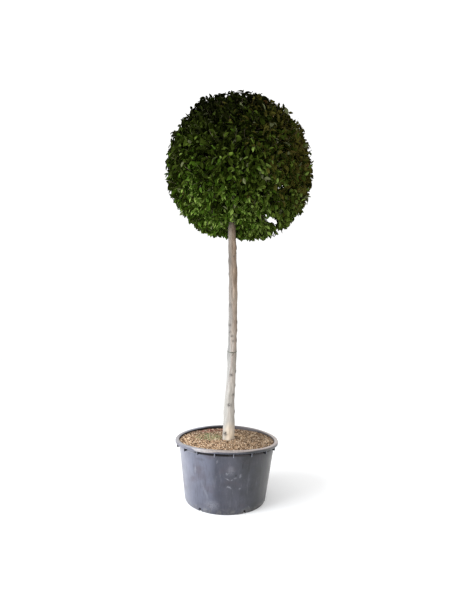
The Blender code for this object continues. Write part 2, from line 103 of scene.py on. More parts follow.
# The soil
SOIL_BELOW_RIM = 0.029
SOIL_CROWNING = 0.004
SOIL_FLAT_RADIUS = 0.095
SOIL_SIDES = 200
SOIL_RINGS = 84
SOIL_LUMPS = ((9.0, 0.0040), (38.0, 0.0028), (110.0, 0.0014))  # scale and height
SOIL_EDGE_DROP = 0.004
SOIL_FOOT_INSET = 0.008
SOIL_PATCHES = (  # painted shade by the wall at the back left, and painted light where the stem's shadow falls: middle, radius, stretch, how their colour changes
    ((-0.36, 0.27, 0.0), 0.25, (0.7, 1.0, 0.0), (0.60, 0.62, 0.68)),
    ((0.15, 0.10, 0.0), 0.11, (1.0, 0.8, 0.0), (1.70, 1.74, 1.72)),
)
ROOT_HOLLOW = Vector((0.068, 0.150))  # a small crevice to the right of the stem
ROOT_HOLLOW_RADIUS = 0.032
ROOT_HOLLOW_DEPTH = 0.012
STEM_CLEARANCE = 0.062  # crumbs and moss keep this far from the stem's middle
# Moss and reddish bark: middle, reach, how full, and the level and scale of their raggedness
MOSS = (Vector((-0.165, 0.060)), Vector((0.150, 0.170)), 0.5, 2.0, 22.0)
RED_BARK = (Vector((-0.210, 0.335)), Vector((0.270, 0.130)), 0.6, 5.0, 14.0)
# What lies on the soil: name, colour, darker colour, how many to a square metre, where, size range, flatness
CRUMBS = (
    ("crumbs_tan", (0.340, 0.240, 0.152), (0.175, 0.114, 0.068), 3600, "everywhere", 0.0050, 0.0120, 0.75),
    ("crumbs_dark", (0.070, 0.038, 0.020), (0.022, 0.012, 0.007), 3400, "everywhere", 0.0065, 0.0155, 0.60),
    ("crumbs_pale", (0.540, 0.455, 0.345), (0.365, 0.290, 0.205), 1500, "everywhere", 0.0050, 0.0115, 0.80),
    ("crumbs_red", (0.300, 0.115, 0.090), (0.150, 0.056, 0.045), 11000, "reddish", 0.0060, 0.0130, 0.60),
    ("moss_tufts", (0.215, 0.250, 0.135), (0.080, 0.105, 0.045), 42000, "mossy", 0.0040, 0.0095, 0.90),
)

# The trunk
BOW_HEIGHT = 1.320
BOW_OFFSET = 0.0238
BOW_BELOW = 0.052
BOW_ABOVE = 0.0268
BOW_REACH = 0.440
STEM_RADIUS = 0.0410
FLARE_RADIUS = 0.0145
FLARE_HEIGHT = 0.340
TIP_TAPER = 0.0055
ROOT_LOBES = 5
ROOT_LOBE_DEPTH = 0.050
ROOT_LOBE_HEIGHT = 0.050
ROOT_LOBE_TURN = 0.6
TRUNK_SWELL = 0.035
TRUNK_SWELL_SCALE = 1.3
TRUNK_SWELL_RISE = 4.2
BARK_SIDES = 72
BARK_RING_STEP = 0.006
BARK_FLUTES = (3.4, 1.5, 0.0016)  # how close together round the stem and along it, and how deep
BARK_RIDGES = (11.0, 6.0, 0.0007)
BARK_BUMPS = (2.4, 17.0, 0.0042)
BARK_GRAIN = (30.0, 26.0, 0.00025)
# Broad swellings: height, turn from +X in degrees, radius, how far they stand out
STEM_SWELLINGS = (
    (1.285, 178, 0.050, 0.0075), (1.300, 4, 0.040, 0.0050), (0.780, 176, 0.040, 0.0060),
    (2.060, 2, 0.060, 0.0035), (1.880, -2, 0.045, 0.0040), (2.345, -6, 0.022, 0.0050),
    (2.330, 176, 0.030, 0.0040), (2.210, 180, 0.028, 0.0035),
)
STEM_SHADE_PATCHES = (  # painted shade, from the crown above and on the stem's right: middle, radius, stretch, how their colour changes
    ((-0.040, -0.020, 2.200), 0.12, (1.0, 1.0, 1.0), (0.62, 0.62, 0.62)),
    ((0.030, -0.040, 2.010), 0.08, (1.0, 1.0, 1.0), (0.78, 0.76, 0.75)),
    ((0.075, -0.030, 1.660), 0.16, (3.0, 1.0, 1.0), (0.62, 0.60, 0.58)),
    ((0.075, -0.030, 1.240), 0.16, (3.0, 1.0, 1.0), (0.62, 0.60, 0.58)),
    ((0.060, -0.030, 0.870), 0.10, (1.0, 1.0, 1.0), (0.78, 0.77, 0.76)),
)

# Bud scars and knots that show: height, turn from +X in degrees, radius, how far they stand out
FRONT_KNOTS = (
    (2.328, -14, 0.013, 0.0055), (2.288, -18, 0.012, 0.0050), (2.243, -73, 0.009, 0.0022),
    (2.140, -28, 0.015, 0.0050), (2.075, -160, 0.015, 0.0045), (1.774, -143, 0.015, 0.0036),
    (1.610, -14, 0.014, 0.0040), (1.574, -140, 0.015, 0.0036), (1.530, -10, 0.013, 0.0040),
    (1.507, -126, 0.011, 0.0024), (1.473, -96, 0.012, 0.0026), (1.437, -20, 0.019, 0.0055),
    (1.426, -82, 0.010, 0.0022), (1.140, -16, 0.015, 0.0050), (1.107, -87, 0.016, 0.0032),
    (1.010, -16, 0.014, 0.0045), (0.926, -50, 0.014, 0.0034), (0.833, -93, 0.018, 0.0034),
    (0.767, -10, 0.015, 0.0050), (0.574, -122, 0.022, 0.0050),
)
BACK_KNOT_COUNT = 15
BACK_KNOT_SEED = 29
BACK_KNOT_MARGIN = 0.10  # from the stem's two ends
BACK_KNOT_TURNS = (15, 165)
BACK_KNOT_SIZES = (0.007, 0.015)
BACK_KNOT_RISES = (0.002, 0.0045)
# Where the bark is painted a cold grey, as lit by the sky
SKYLIT_TURN = math.radians(195.0)
SKYLIT_EDGE = 0.48
CHAFE_HEIGHTS = (1.236, 1.196)
CHAFE_SLANT = 0.30
CHAFE_WIDTH = 0.007

# The tie
TIE_HEIGHT = 1.330
TIE_THICKNESS = 0.0052
TIE_SPACE = 0.0012  # between it and the bark
TIE_DROP = 0.026  # lower at the front than at the back
TIE_WAVE = 0.002
TIE_STEPS = 72
TIE_SIDES = 8
TIE_TAIL_TURN = math.radians(-84.0)
TIE_TAIL_LENGTH = 0.034
TIE_TAIL_SPACE = 0.002  # how far it stands out at its top, and how much farther at its end
TIE_TAIL_LIFT = 0.004
TIE_TAIL_STEPS = 8
TIE_TWIST_REACH = 9.0  # degrees to each side of the tail
TIE_TWIST_TURNS = 3
TIE_TWIST_STEPS = 24

# The crown
CROWN_CENTRE = Vector((0.043, 0.0, 3.093))
CROWN_RADIUS = 0.738
CROWN_HALF_HEIGHT = 0.648
CROWN_LUMP_SCALE = 2.6
CROWN_LUMP_DEPTH = 0.016
CROWN_FRAY_SCALE = 15.0  # how close together tufts stand out of the clipped outline
CROWN_FRAY_DEPTH = 0.036
CROWN_BULGES = (  # degrees from the front towards +X, degrees up, share of the radius, reach in degrees
    (110, -53, 0.070, 22), (91, -26, 0.034, 19), (-35, 43, 0.042, 16), (45, 38, 0.012, 15),
    (-106, -48, 0.020, 24), (-97, -8, 0.010, 14), (74, 6, -0.022, 17), (175, 35, 0.026, 22),
    (-150, -15, 0.022, 24), (150, -10, -0.016, 20), (-160, 60, 0.018, 18),
    (16, 60, 0.022, 16), (42, 70, 0.024, 22), (-172, -61, -0.030, 16), (-64, 38, 0.022, 14),
)
LEAF_LIMIT = 1.004  # how far past the outline a leaf's tip may stand, as a share of its reach
RECESS_RADIUS = 0.175  # of the hollow round the trunk at the crown's underside
RECESS_HEIGHT = 0.255
TRUNK_CLEARANCE = 0.006
SKY_GAP_MIDDLE = Vector((0.330, 0.132, -0.402))
SKY_GAP_AXIS = Vector((0.092, 0.923, 0.375)).normalized()
SKY_GAP_SIDE = Vector((0.82, 0.05, -0.33)).normalized()
SKY_GAP_HALF_WIDTH = 0.096
SKY_GAP_HALF_HEIGHT = 0.034
SKY_GAP_STRAYS = 30.0  # how close together a few leaves reach into it
SKY_GAP_STRAY_LIMIT = 0.21

# The boughs and twigs
LEADER_LENGTH = 0.58
LEADER_SAG = 0.012
LEADER_TAPER = (1.0, 0.3)
BOUGH_COUNT = 13
BOUGH_RADIUS = 0.013
BOUGH_TAPER = (1.0, 0.4)
BOUGH_ARCH = 0.05
BOUGH_FIRST = 0.12
BOUGH_LAST = 0.92
BOUGH_SHARE = 0.66
BOUGH_LOWEST = -0.62
BOUGH_HIGHEST = 0.80
LIMB_STEPS = 9
LEADER_SIDES = 16
BOUGH_SIDES = 10
BARE_STEPS = 3  # of a bough, from the leader, where no twig starts
TWIG_COUNT = 210
TWIG_RADIUS = 0.0048
TWIG_SHARE = 0.86
TWIG_JITTER = 0.055
TWIG_BEND = 0.02
TWIG_STEPS = 5
TWIG_SIDES = 5
TWIG_REACH = 0.62  # how far towards its tip it looks for the nearest bough
TWIG_TAPER = 0.45  # of a twig or a shoot, at its tip
SHOOT_COUNT = 3350
SHOOT_SEED = 905
SHOOT_RADIUS = 0.0016
SHOOT_JITTER = 0.022
SHOOT_SHARES = (0.842, 0.965)
SHOOT_LONG_SHARE = 0.995  # a few shoots stand out since the last clipping
SHOOT_LONG_CHANCE = 0.07
SHOOT_LENGTHS = (0.14, 0.24)
SHOOT_STEPS = 4
SHOOT_SIDES = 3
SHOOT_BEND = 0.55  # along it, and how far it sags there
SHOOT_SAG = 0.012

# The leaves
LEAF_LENGTHS = (0.046, 0.071)
LEAF_WIDTH_SHARE = 0.50
LEAVES_PER_SHOOT = 14
LEAF_FIRST = 0.22  # along its shoot, for the lowest leaf
LEAF_STATIONS = ((0.12, 0.24), (0.34, 0.48), (0.62, 0.44), (0.86, 0.20))  # along, and half as wide as
LEAF_AHEAD = 0.50  # how far a leaf points along its shoot, aside at the tip and below it, and down
LEAF_ASIDE = (0.15, 0.80)
LEAF_HANG = 0.40
LEAF_UNEVEN = 0.30
ROW_STRAY = 0.6
END_LEAF_SHARE = 0.85  # of its length, for the leaf at a shoot's tip
LEAF_OUTWARD = 0.36
LEAF_UPWARD = 0.74
LEAF_STRAY = 0.66
LEAF_BENDS = ((0.28, 0.18), (0.50, 0.10), (0.38, -0.08), (0.62, 0.24))  # fold and droop of each form

# Leaf colours by the part of the crown, most of them lighter and darker tones for painted light and shade:
# name, colour, roughness
LEAF_TONES = {
    "shade": ((0.0042, 0.0052, 0.0004), 0.85),
    "deep": ((0.0086, 0.0122, 0.0010), 0.82),
    "dark": ((0.0160, 0.0245, 0.0019), 0.80),
    "mid": ((0.0310, 0.0470, 0.0048), 0.76),
    "cool_mid": ((0.0240, 0.0480, 0.0028), 0.76),
    "fresh": ((0.0610, 0.0900, 0.0120), 0.72),
    "cool_fresh": ((0.0480, 0.0900, 0.0095), 0.72),
    "bright": ((0.1250, 0.1800, 0.0360), 0.68),
    "olive": ((0.0460, 0.0430, 0.0070), 0.82),
    "bronze": ((0.0520, 0.0410, 0.0090), 0.82),
    "rust": ((0.0620, 0.0330, 0.0090), 0.84),
    "sheen": ((0.0760, 0.0840, 0.0380), 0.70),
    "straw": ((0.3000, 0.2300, 0.1000), 0.75),
}
FULL_TONES = ("dark", "deep")  # so many leaves that each makes two pieces, in front and behind
BRIGHT_SIDE = Vector((0.12, -0.30, -0.94)).normalized()  # where the leaves are painted lightest, as lit from there
SIDE_LIFT = 0.34  # how much lighter they are painted at the two sides
TIP_LIFT = 0.16  # and at a shoot's tip, and how much darker deep inside, as painted shade
DEEP_FALL = 0.80
DEEP_SHADE = 0.45  # how far down its shoot a warm leaf is painted dark, as shade
# Where they are painted lighter or darker: degrees from the front, degrees up, how far, reach in degrees
TONE_SPOTS = (
    (45, -36, -0.75, 9), (-29, -51, -0.65, 8), (-20, -20, -0.12, 9), (-50, -28, 0.45, 8), (-18, -42, 0.30, 6),
    (-15, -54, 0.25, 6), (19, -43, 0.25, 4), (-62, -59, 0.40, 7), (-54, -43, 0.30, 7), (20, -19, 0.45, 5),
    (-33, -2, 0.25, 8), (60, -20, 0.25, 9), (8, 25, -0.15, 14), (-42, -32, -0.03, 22), (-8, -14, 0.16, 7),
    (35, -45, 0.10, 20), (11, -38, -0.16, 10),
)
FAR_SIDE = Vector((0.0, 0.88, 0.48)).normalized()  # the top and back, where the tones are even
FAR_LIMITS = (0.08, 0.45)
FAR_EVEN = 0.75  # how far the tones even out there
FAR_LIT_GREEN = 0.55
FAR_GREEN = 0.55  # and how much less warm they are
WARM_SIDE = Vector((0.88, -0.28, 0.36)).normalized()  # where they turn olive and bronze
WARM_LIMITS = (0.70, 1.10, 1.36)  # for olive, bronze and rust
COOL_SIDE = Vector((-0.55, -0.25, -0.80)).normalized()  # where the greens are purer
COOL_LIMIT = 0.65
SIDE_STRAY = 0.25
TONE_SPREAD = 0.30
TOP_CALM = 0.55  # how much less the tones vary at the top
STRAW_CHANCE = 0.0012
# Leaves painted pale grey-green as a painted sheen
SHEEN_CHANCE = 0.030
# How lit a leaf has to be painted for each tone
TONE_LIMITS = ((1.25, "bright"), (0.98, "fresh"), (0.66, "mid"), (0.26, "dark"), (-0.16, "deep"))

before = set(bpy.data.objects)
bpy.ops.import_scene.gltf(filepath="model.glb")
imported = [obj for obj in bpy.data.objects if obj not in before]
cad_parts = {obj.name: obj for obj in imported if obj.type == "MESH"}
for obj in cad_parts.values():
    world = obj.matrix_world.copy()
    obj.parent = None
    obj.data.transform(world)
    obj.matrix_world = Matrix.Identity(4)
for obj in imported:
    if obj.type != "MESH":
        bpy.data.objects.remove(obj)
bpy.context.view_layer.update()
pot_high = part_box("pot")[1]
trunk_low, trunk_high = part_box("trunk")
POT_HEIGHT = pot_high.z
RIM_RADIUS = pot_high.x
SKIRT_FOOT = POT_HEIGHT - LIP_HEIGHT
TRUNK_FOOT = trunk_low.z
TRUNK_TIP = trunk_high.z


# Making meshes

def add_piece(name, mesh, material, node=None):
    """An object at the origin that rides on the tree's one body."""
    if material is not None:
        mesh.materials.clear()
        mesh.materials.append(material)
    piece = bpy.data.objects.new(name, mesh)
    bpy.context.scene.collection.objects.link(piece)
    if node is not None:
        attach(piece, "root")
        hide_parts(node)
    return piece


def mesh_from(name, shape, smooth_to=None):
    """A mesh from a bmesh, which is freed."""
    bmesh.ops.recalc_face_normals(shape, faces=shape.faces)
    mesh = bpy.data.meshes.new(name)
    shape.to_mesh(mesh)
    shape.free()
    return smoothed(mesh, smooth_to)


def smoothed(mesh, smooth_to=None):
    if smooth_to is not None:
        mesh.shade_smooth()
        mesh.set_sharp_from_angle(angle=math.radians(smooth_to))
    return mesh


def keep_values(mesh, **values):
    """Give each point of a mesh its values, for its finish or its crumbs."""
    for name, shares in values.items():
        mesh.attributes.new(name, "FLOAT", "POINT").data.foreach_set("value", shares)


def realised(piece):
    """The piece's mesh with its modifiers worked in."""
    bpy.context.view_layer.update()
    evaluated = piece.evaluated_get(bpy.context.evaluated_depsgraph_get())
    mesh = bpy.data.meshes.new_from_object(evaluated)
    piece.modifiers.clear()
    return mesh


def turned(profile, sides):
    """A solid of revolution about Z from (radius, height) points."""
    shape = bmesh.new()
    points = [shape.verts.new((radius, 0.0, height)) for radius, height in profile]
    edges = [shape.edges.new(pair) for pair in zip(points, points[1:])]
    bmesh.ops.spin(shape, geom=points + edges, cent=(0, 0, 0), axis=(0, 0, 1),
                   angle=math.tau, steps=sides, use_duplicate=False)
    bmesh.ops.remove_doubles(shape, verts=shape.verts, dist=0.00001)
    return shape


def extruded(outline, thickness):
    """A flat outline of (x, z) points, given a thickness along Y and centred on it."""
    shape = bmesh.new()
    face = shape.faces.new([shape.verts.new((x, -thickness / 2, z)) for x, z in outline])
    swept = bmesh.ops.extrude_face_region(shape, geom=[face])
    moved = [part for part in swept["geom"] if isinstance(part, bmesh.types.BMVert)]
    bmesh.ops.translate(shape, verts=moved, vec=(0, thickness, 0))
    return shape


def between(start, end, share):
    return start + (end - start) * share


def skin(shape, loops):
    """Close the first loop of points, and make faces from each loop to the next one."""
    for lower, upper in zip(loops, loops[1:]):
        for side in range(len(lower)):
            after = (side + 1) % len(lower)
            shape.faces.new((lower[side], lower[after], upper[after], upper[side]))
    shape.faces.new(list(reversed(loops[0])))


def curve_points(path, steps):
    """Points along a bend that starts at the first of three points and ends at the last."""
    start, bend, end = path
    control = bend * 2.0 - (start + end) * 0.5
    points = []
    for step in range(steps + 1):
        share = step / steps
        points.append(between(between(start, control, share), between(control, end, share), share))
    return points


class Limbs:
    """Many tapering limbs gathered into one mesh."""

    def __init__(self):
        self.points = []
        self.faces = []

    def add(self, path, radii, sides):
        first = len(self.points)
        for index, (point, radius) in enumerate(zip(path, radii)):
            ahead = path[min(index + 1, len(path) - 1)] - path[max(index - 1, 0)]
            level = Vector((0, 0, 1)).cross(ahead)
            level = level.normalized() if level.length > 1e-5 else Vector((1, 0, 0))
            upright = ahead.cross(level).normalized()
            for side in range(sides):
                turn = math.tau * side / sides
                self.points.append(point + (level * math.cos(turn) + upright * math.sin(turn)) * radius)
        for index in range(len(path) - 1):
            low = first + index * sides
            for side in range(sides):
                after = (side + 1) % sides
                self.faces.append((low + side, low + after, low + sides + after, low + sides + side))
        self.faces.append(tuple(first + side for side in reversed(range(sides))))
        last = first + (len(path) - 1) * sides
        self.faces.append(tuple(last + side for side in range(sides)))

    def mesh(self, name):
        mesh = bpy.data.meshes.new(name)
        mesh.from_pydata(self.points, [], self.faces)
        return smoothed(mesh, 70.0)


# Finishes

def wired(tree, kind, fed, **settings):
    """The outputs of a new node. Each input is fed by another node's output or holds a plain value."""
    node = tree.nodes.new(kind)
    for name, value in settings.items():
        setattr(node, name, value)
    for socket, value in fed.items():
        if isinstance(value, bpy.types.NodeSocket):
            tree.links.new(value, node.inputs[socket])
        elif value is not None:
            node.inputs[socket].default_value = value
    return node.outputs


class Finish:
    """A material, its colour so far, and short calls for its nodes."""

    def __init__(self, name, colour, roughness, specular=0.5):
        self.material = bpy.data.materials.new(name)
        self.material.use_nodes = True
        self.tree = self.material.node_tree
        self.shader = self.tree.nodes["Principled BSDF"].inputs
        self.shader["Base Color"].default_value = (*colour, 1.0)
        self.shader["Roughness"].default_value = roughness
        self.shader["Specular IOR Level"].default_value = specular
        self.place = self.add("ShaderNodeTexCoord", {})["Object"]
        self.colour = None

    def add(self, kind, fed, **settings):
        return wired(self.tree, kind, fed, **settings)

    def shade(self, name, value):
        """Feed one of the shader's own sockets."""
        self.tree.links.new(value, self.shader[name])

    def stretched(self, scale, shift=(0, 0, 0)):
        """Object coordinates, scaled along each axis."""
        fed = {"Vector": self.place, "Scale": scale, "Location": shift}
        return self.add("ShaderNodeMapping", fed)["Vector"]

    def noise(self, scale, detail=4.0, roughness=0.55, distortion=0.0, stretch=None, shift=(0, 0, 0)):
        vector = self.stretched(stretch, shift) if stretch else self.place
        fed = {"Vector": vector, "Scale": scale, "Detail": detail, "Roughness": roughness,
               "Distortion": distortion}
        return self.add("ShaderNodeTexNoise", fed)["Fac"]

    def ramp(self, value, *stops):
        """A colour ramp through (position, colour) stops."""
        node = self.tree.nodes.new("ShaderNodeValToRGB")
        elements = node.color_ramp.elements
        while len(elements) < len(stops):
            elements.new(0.5)
        for element, (position, colour) in zip(elements, stops):
            element.position = position
            element.color = (*colour, 1.0)
        self.tree.links.new(value, node.inputs["Fac"])
        return node.outputs["Color"]

    def mix(self, share, first, second, blend="MIX"):
        """Two colours mixed. Each may be an output or a plain colour."""
        fed = {0: share, 6: first, 7: second}
        for socket in (6, 7):
            if isinstance(fed[socket], tuple):
                fed[socket] = (*fed[socket], 1.0)
        return self.add("ShaderNodeMix", fed, data_type="RGBA", blend_type=blend)[2]

    def coat(self, share, colour):
        """Lay a colour over the one so far."""
        self.colour = self.mix(share, self.colour, colour)

    def stain(self, pattern, low, high, strength, colour):
        """Lay a colour where a pattern is strong."""
        self.coat(self.range(pattern, low, high, 0.0, strength), colour)

    def tint(self, share, change):
        """Make the colour so far darker or paler."""
        self.colour = self.mix(share, self.colour, change, "MULTIPLY")

    def tint_patches(self, patches):
        for middle, radius, stretch, change in patches:
            self.tint(self.spot(middle, radius, stretch), change)

    def painted(self):
        self.shade("Base Color", self.colour)
        return self.material

    def range(self, value, low, high, to_low=0.0, to_high=1.0):
        fed = {"Value": value, "From Min": low, "From Max": high, "To Min": to_low, "To Max": to_high}
        return self.add("ShaderNodeMapRange", fed)["Result"]

    def maths(self, operation, first, second):
        return self.add("ShaderNodeMath", {0: first, 1: second}, operation=operation)["Value"]

    def times(self, product, *others):
        for other in others:
            product = self.maths("MULTIPLY", product, other)
        return product

    def axis(self, letter):
        return self.add("ShaderNodeSeparateXYZ", {"Vector": self.place})[letter]

    def length(self, vector):
        return self.add("ShaderNodeVectorMath", {0: vector}, operation="LENGTH")["Value"]

    def spot(self, middle, radius, stretch=(1.0, 1.0, 1.0)):
        """1 at a place on the piece, falling to 0 at a radius from it."""
        scaled = tuple(place * scale for place, scale in zip(middle, stretch))
        away = self.add("ShaderNodeVectorMath", {0: self.stretched(stretch), 1: scaled}, operation="DISTANCE")
        return self.range(away["Value"], radius, 0.0)

    def stroke(self, middle, turn, length, width):
        """1 along a short line, upright and square to the front, falling to 0 at its sides and ends."""
        fed = {"Vector": self.place, "Location": middle, "Rotation": (0.0, -math.radians(turn), 0.0),
               "Scale": (length / 2, 0.060, width)}
        along = self.add("ShaderNodeMapping", fed, vector_type="TEXTURE")["Vector"]
        return self.range(self.length(along), 1.0, 0.3)

    def marks(self, strokes):
        """All of the strokes together, the strongest one counting at each place."""
        total = 0.0
        for *line, strength in strokes:
            total = self.maths("MAXIMUM", total, self.times(self.stroke(*line), strength))
        return total

    def attribute(self, name):
        return self.add("ShaderNodeAttribute", {}, attribute_name=name)["Fac"]

    def bump(self, height, strength, distance, normal=None):
        fed = {"Height": height, "Strength": strength, "Distance": distance, "Normal": normal}
        raised = self.add("ShaderNodeBump", fed)["Normal"]
        self.shade("Normal", raised)
        return raised

    def grain(self, strength, distance, *scale_and_detail, **stretch):
        """Fine relief all over."""
        self.bump(self.noise(*scale_and_detail, **stretch), strength, distance)


def pot_plastic():
    """Blue-grey plastic, streaked and scuffed, with painted light on its left and lip, the lip partly
    bleached too, and painted shade under the lip and inside.
    """
    finish = Finish("pot_plastic", (0.030, 0.031, 0.041), 0.36)
    height, across = finish.attribute("level"), finish.axis("X")
    reach = finish.length(finish.stretched((1.0, 1.0, 0.0)))
    wander = finish.noise(1.0, 4.0, 0.6, stretch=(5.0, 5.0, 1.2))
    # Painted light and reflection: the wall is lighter on its left, where the light falls, and paler at its
    # two grazing edges, darker between.
    side = finish.maths("ADD", finish.range(across, -0.42, 0.42), finish.range(wander, 0.3, 0.7, -0.09, 0.09))
    finish.colour = finish.ramp(
        side, (0.00, (0.142, 0.146, 0.182)), (0.20, (0.087, 0.093, 0.126)), (0.42, (0.022, 0.024, 0.037)),
        (0.55, (0.029, 0.030, 0.041)), (0.74, (0.012, 0.013, 0.016)), (0.88, (0.015, 0.0155, 0.015)),
        (1.00, (0.074, 0.073, 0.067)))
    clouds = finish.noise(7.0, 5.0, 0.6)
    tinted = finish.noise(2.0, 3.0, stretch=(3.0, 3.0, 5.0), shift=(4.0, 0.0, 2.0))
    runs = finish.noise(3.0, 4.0, 0.65, stretch=(24.0, 24.0, 1.6))
    chalk = finish.noise(2.0, 5.0, 0.7, stretch=(17.0, 17.0, 2.4), shift=(3.0, 1.0, 0.0))
    dust = finish.noise(70.0, 3.0, 0.7)
    finish.stain(clouds, 0.35, 0.70, 0.45, (0.060, 0.060, 0.080))
    finish.stain(tinted, 0.52, 0.70, 0.50, (0.042, 0.030, 0.038))
    finish.stain(runs, 0.52, 0.74, 0.50, (0.013, 0.013, 0.018))
    finish.stain(chalk, 0.56, 0.76, 0.36, (0.120, 0.124, 0.145))
    finish.stain(dust, 0.58, 0.80, 0.22, (0.150, 0.147, 0.145))
    broken = finish.range(finish.noise(130.0, 4.0, 0.7), 0.34, 0.58)
    finish.coat(finish.marks(DARK_MARKS), (0.007, 0.007, 0.010))
    finish.coat(finish.times(finish.marks(PALE_MARKS), broken), (0.190, 0.195, 0.220))
    clods = finish.range(finish.noise(26.0, 5.0, 0.7), 0.46, 0.60)
    finish.coat(finish.times(finish.range(height, 0.060, 0.004), clods, 0.50), (0.160, 0.155, 0.135))
    # The lip's pale top, partly bleached and partly painted light: it reaches less far down the lip's face
    # where that face is in shade, is duller at the back, and is tinted by side.
    pale_depth = finish.times(finish.range(across, -0.285, -0.240, 0.1, 1.0),
                              finish.range(across, -0.17, -0.06, 1.0, 0.40),
                              finish.range(across, 0.10, 0.26, 1.0, 0.30), 0.024)
    pale_from = finish.maths("ADD", height, pale_depth)
    bleached_and_lit_lip = finish.times(finish.range(pale_from, POT_HEIGHT - 0.0045, POT_HEIGHT + 0.0025),
                            finish.range(reach, RIM_RADIUS - 0.036, RIM_RADIUS - 0.031),
                            finish.range(finish.axis("Y"), 0.43, 0.22, 0.35, 1.0))
    speckled = finish.ramp(dust, (0.35, (0.165, 0.156, 0.162)), (0.62, (0.245, 0.233, 0.240)))
    speckled = finish.mix(finish.range(across, -0.26, -0.08), speckled, (1.02, 0.92, 0.82), "MULTIPLY")
    speckled = finish.mix(finish.range(across, 0.08, 0.28), speckled, (1.30, 1.28, 1.28), "MULTIPLY")
    finish.coat(bleached_and_lit_lip, speckled)
    # Painted shadow of the lip on the wall below it, towards the right.
    painted_lip_shadow = finish.times(finish.range(height, 0.41, 0.50), finish.range(across, 0.06, 0.20),
                             finish.range(height, SKIRT_FOOT, SKIRT_FOOT - 0.004))
    finish.tint(painted_lip_shadow, (0.32, 0.31, 0.30))
    # Painted shade: a near black band on the wall just under the lip, fading out towards the left; at the far
    # left that wall is painted lighter instead, as lit.
    shadowed = finish.maths("ADD", finish.range(across, -0.275, -0.245, 0.0, 0.75),
                            finish.range(across, -0.24, -0.05, 0.0, 0.25))
    wall_only = finish.range(reach, RIM_RADIUS - 0.007, RIM_RADIUS - 0.010)
    painted_shade_under_lip = finish.times(finish.range(height, SKIRT_FOOT - 0.031, SKIRT_FOOT - 0.025),
                             finish.range(height, SKIRT_FOOT + 0.010, SKIRT_FOOT), wall_only, shadowed)
    lit = finish.times(finish.range(height, SKIRT_FOOT - 0.034, SKIRT_FOOT - 0.024),
                       finish.range(across, -0.215, -0.255, 0.0, 0.90), wall_only,
                       finish.range(across, -0.42, -0.34))
    finish.coat(lit, (0.195, 0.200, 0.238))
    # Painted shade: the lip's face a little darker below its top at the left end.
    skirt = finish.times(finish.range(height, POT_HEIGHT - 0.003, POT_HEIGHT - 0.007),
                         finish.maths("SUBTRACT", 1.0, wall_only), finish.range(across, -0.24, -0.28))
    finish.tint(skirt, (0.84, 0.83, 0.83))
    finish.coat(painted_shade_under_lip, (0.0015, 0.0015, 0.0025))
    # Painted light and shade on the inside of the wall above the soil: dark on the left, lighter on the
    # right, where the light falls.
    wall_middle = RIM_RADIUS - LIP_OVERHANG - WALL / 2
    inner = finish.times(finish.range(height, SKIRT_FOOT - 0.030, SKIRT_FOOT - 0.020),
                         finish.range(reach, wall_middle + WALL * 0.2, wall_middle - WALL * 0.2))
    inside = finish.ramp(side, (0.30, (0.019, 0.017, 0.016)), (0.52, (0.030, 0.027, 0.026)),
                         (0.60, (0.085, 0.076, 0.078)), (0.78, (0.075, 0.068, 0.068)))
    finish.coat(inner, inside)
    # Almost no shine where shade and light are painted under the lip and inside.
    under_lip_and_inside = finish.maths("MAXIMUM", painted_shade_under_lip, inner)
    finish.shade("Specular IOR Level", finish.range(under_lip_and_inside, 0.0, 1.0, 0.45, 0.02))
    finish.shade("Roughness", finish.range(clouds, 0.35, 0.70, 0.28, 0.44))
    finish.grain(0.12, 0.001, 180.0, 3.0)
    return finish.painted()


def gusset_plastic():
    """The same plastic, painted near black on a gusset's sides as shade under the lip, and painted pale along
    its edges as a highlight.
    """
    finish = Finish("gusset_plastic", (0.150, 0.155, 0.190), 0.40, specular=0.3)
    grain = finish.noise(60.0, 4.0)
    lit_edge = finish.ramp(grain, (0.35, (0.115, 0.120, 0.150)), (0.65, (0.200, 0.205, 0.235)))
    finish.colour = finish.ramp(grain, (0.35, (0.003, 0.003, 0.004)), (0.65, (0.009, 0.009, 0.012)))
    finish.coat(finish.attribute("lit_edge"), lit_edge)
    finish.grain(0.12, 0.001, 180.0, 3.0)
    return finish.painted()


def soil_light_and_shade(finish):
    """The finish, painted lighter towards the front and the left, where the light falls, and with its painted
    patches of shade and light.
    """
    soil_lit = finish.maths("ADD", finish.range(finish.axis("Y"), 0.20, -0.40, 0.0, 0.6),
                       finish.range(finish.axis("X"), 0.25, -0.35, 0.0, 1.1))
    finish.tint(finish.range(soil_lit, 0.2, 1.5, 0.05, 1.0), (1.90, 1.87, 1.86))
    finish.tint_patches(SOIL_PATCHES)
    return finish.painted()


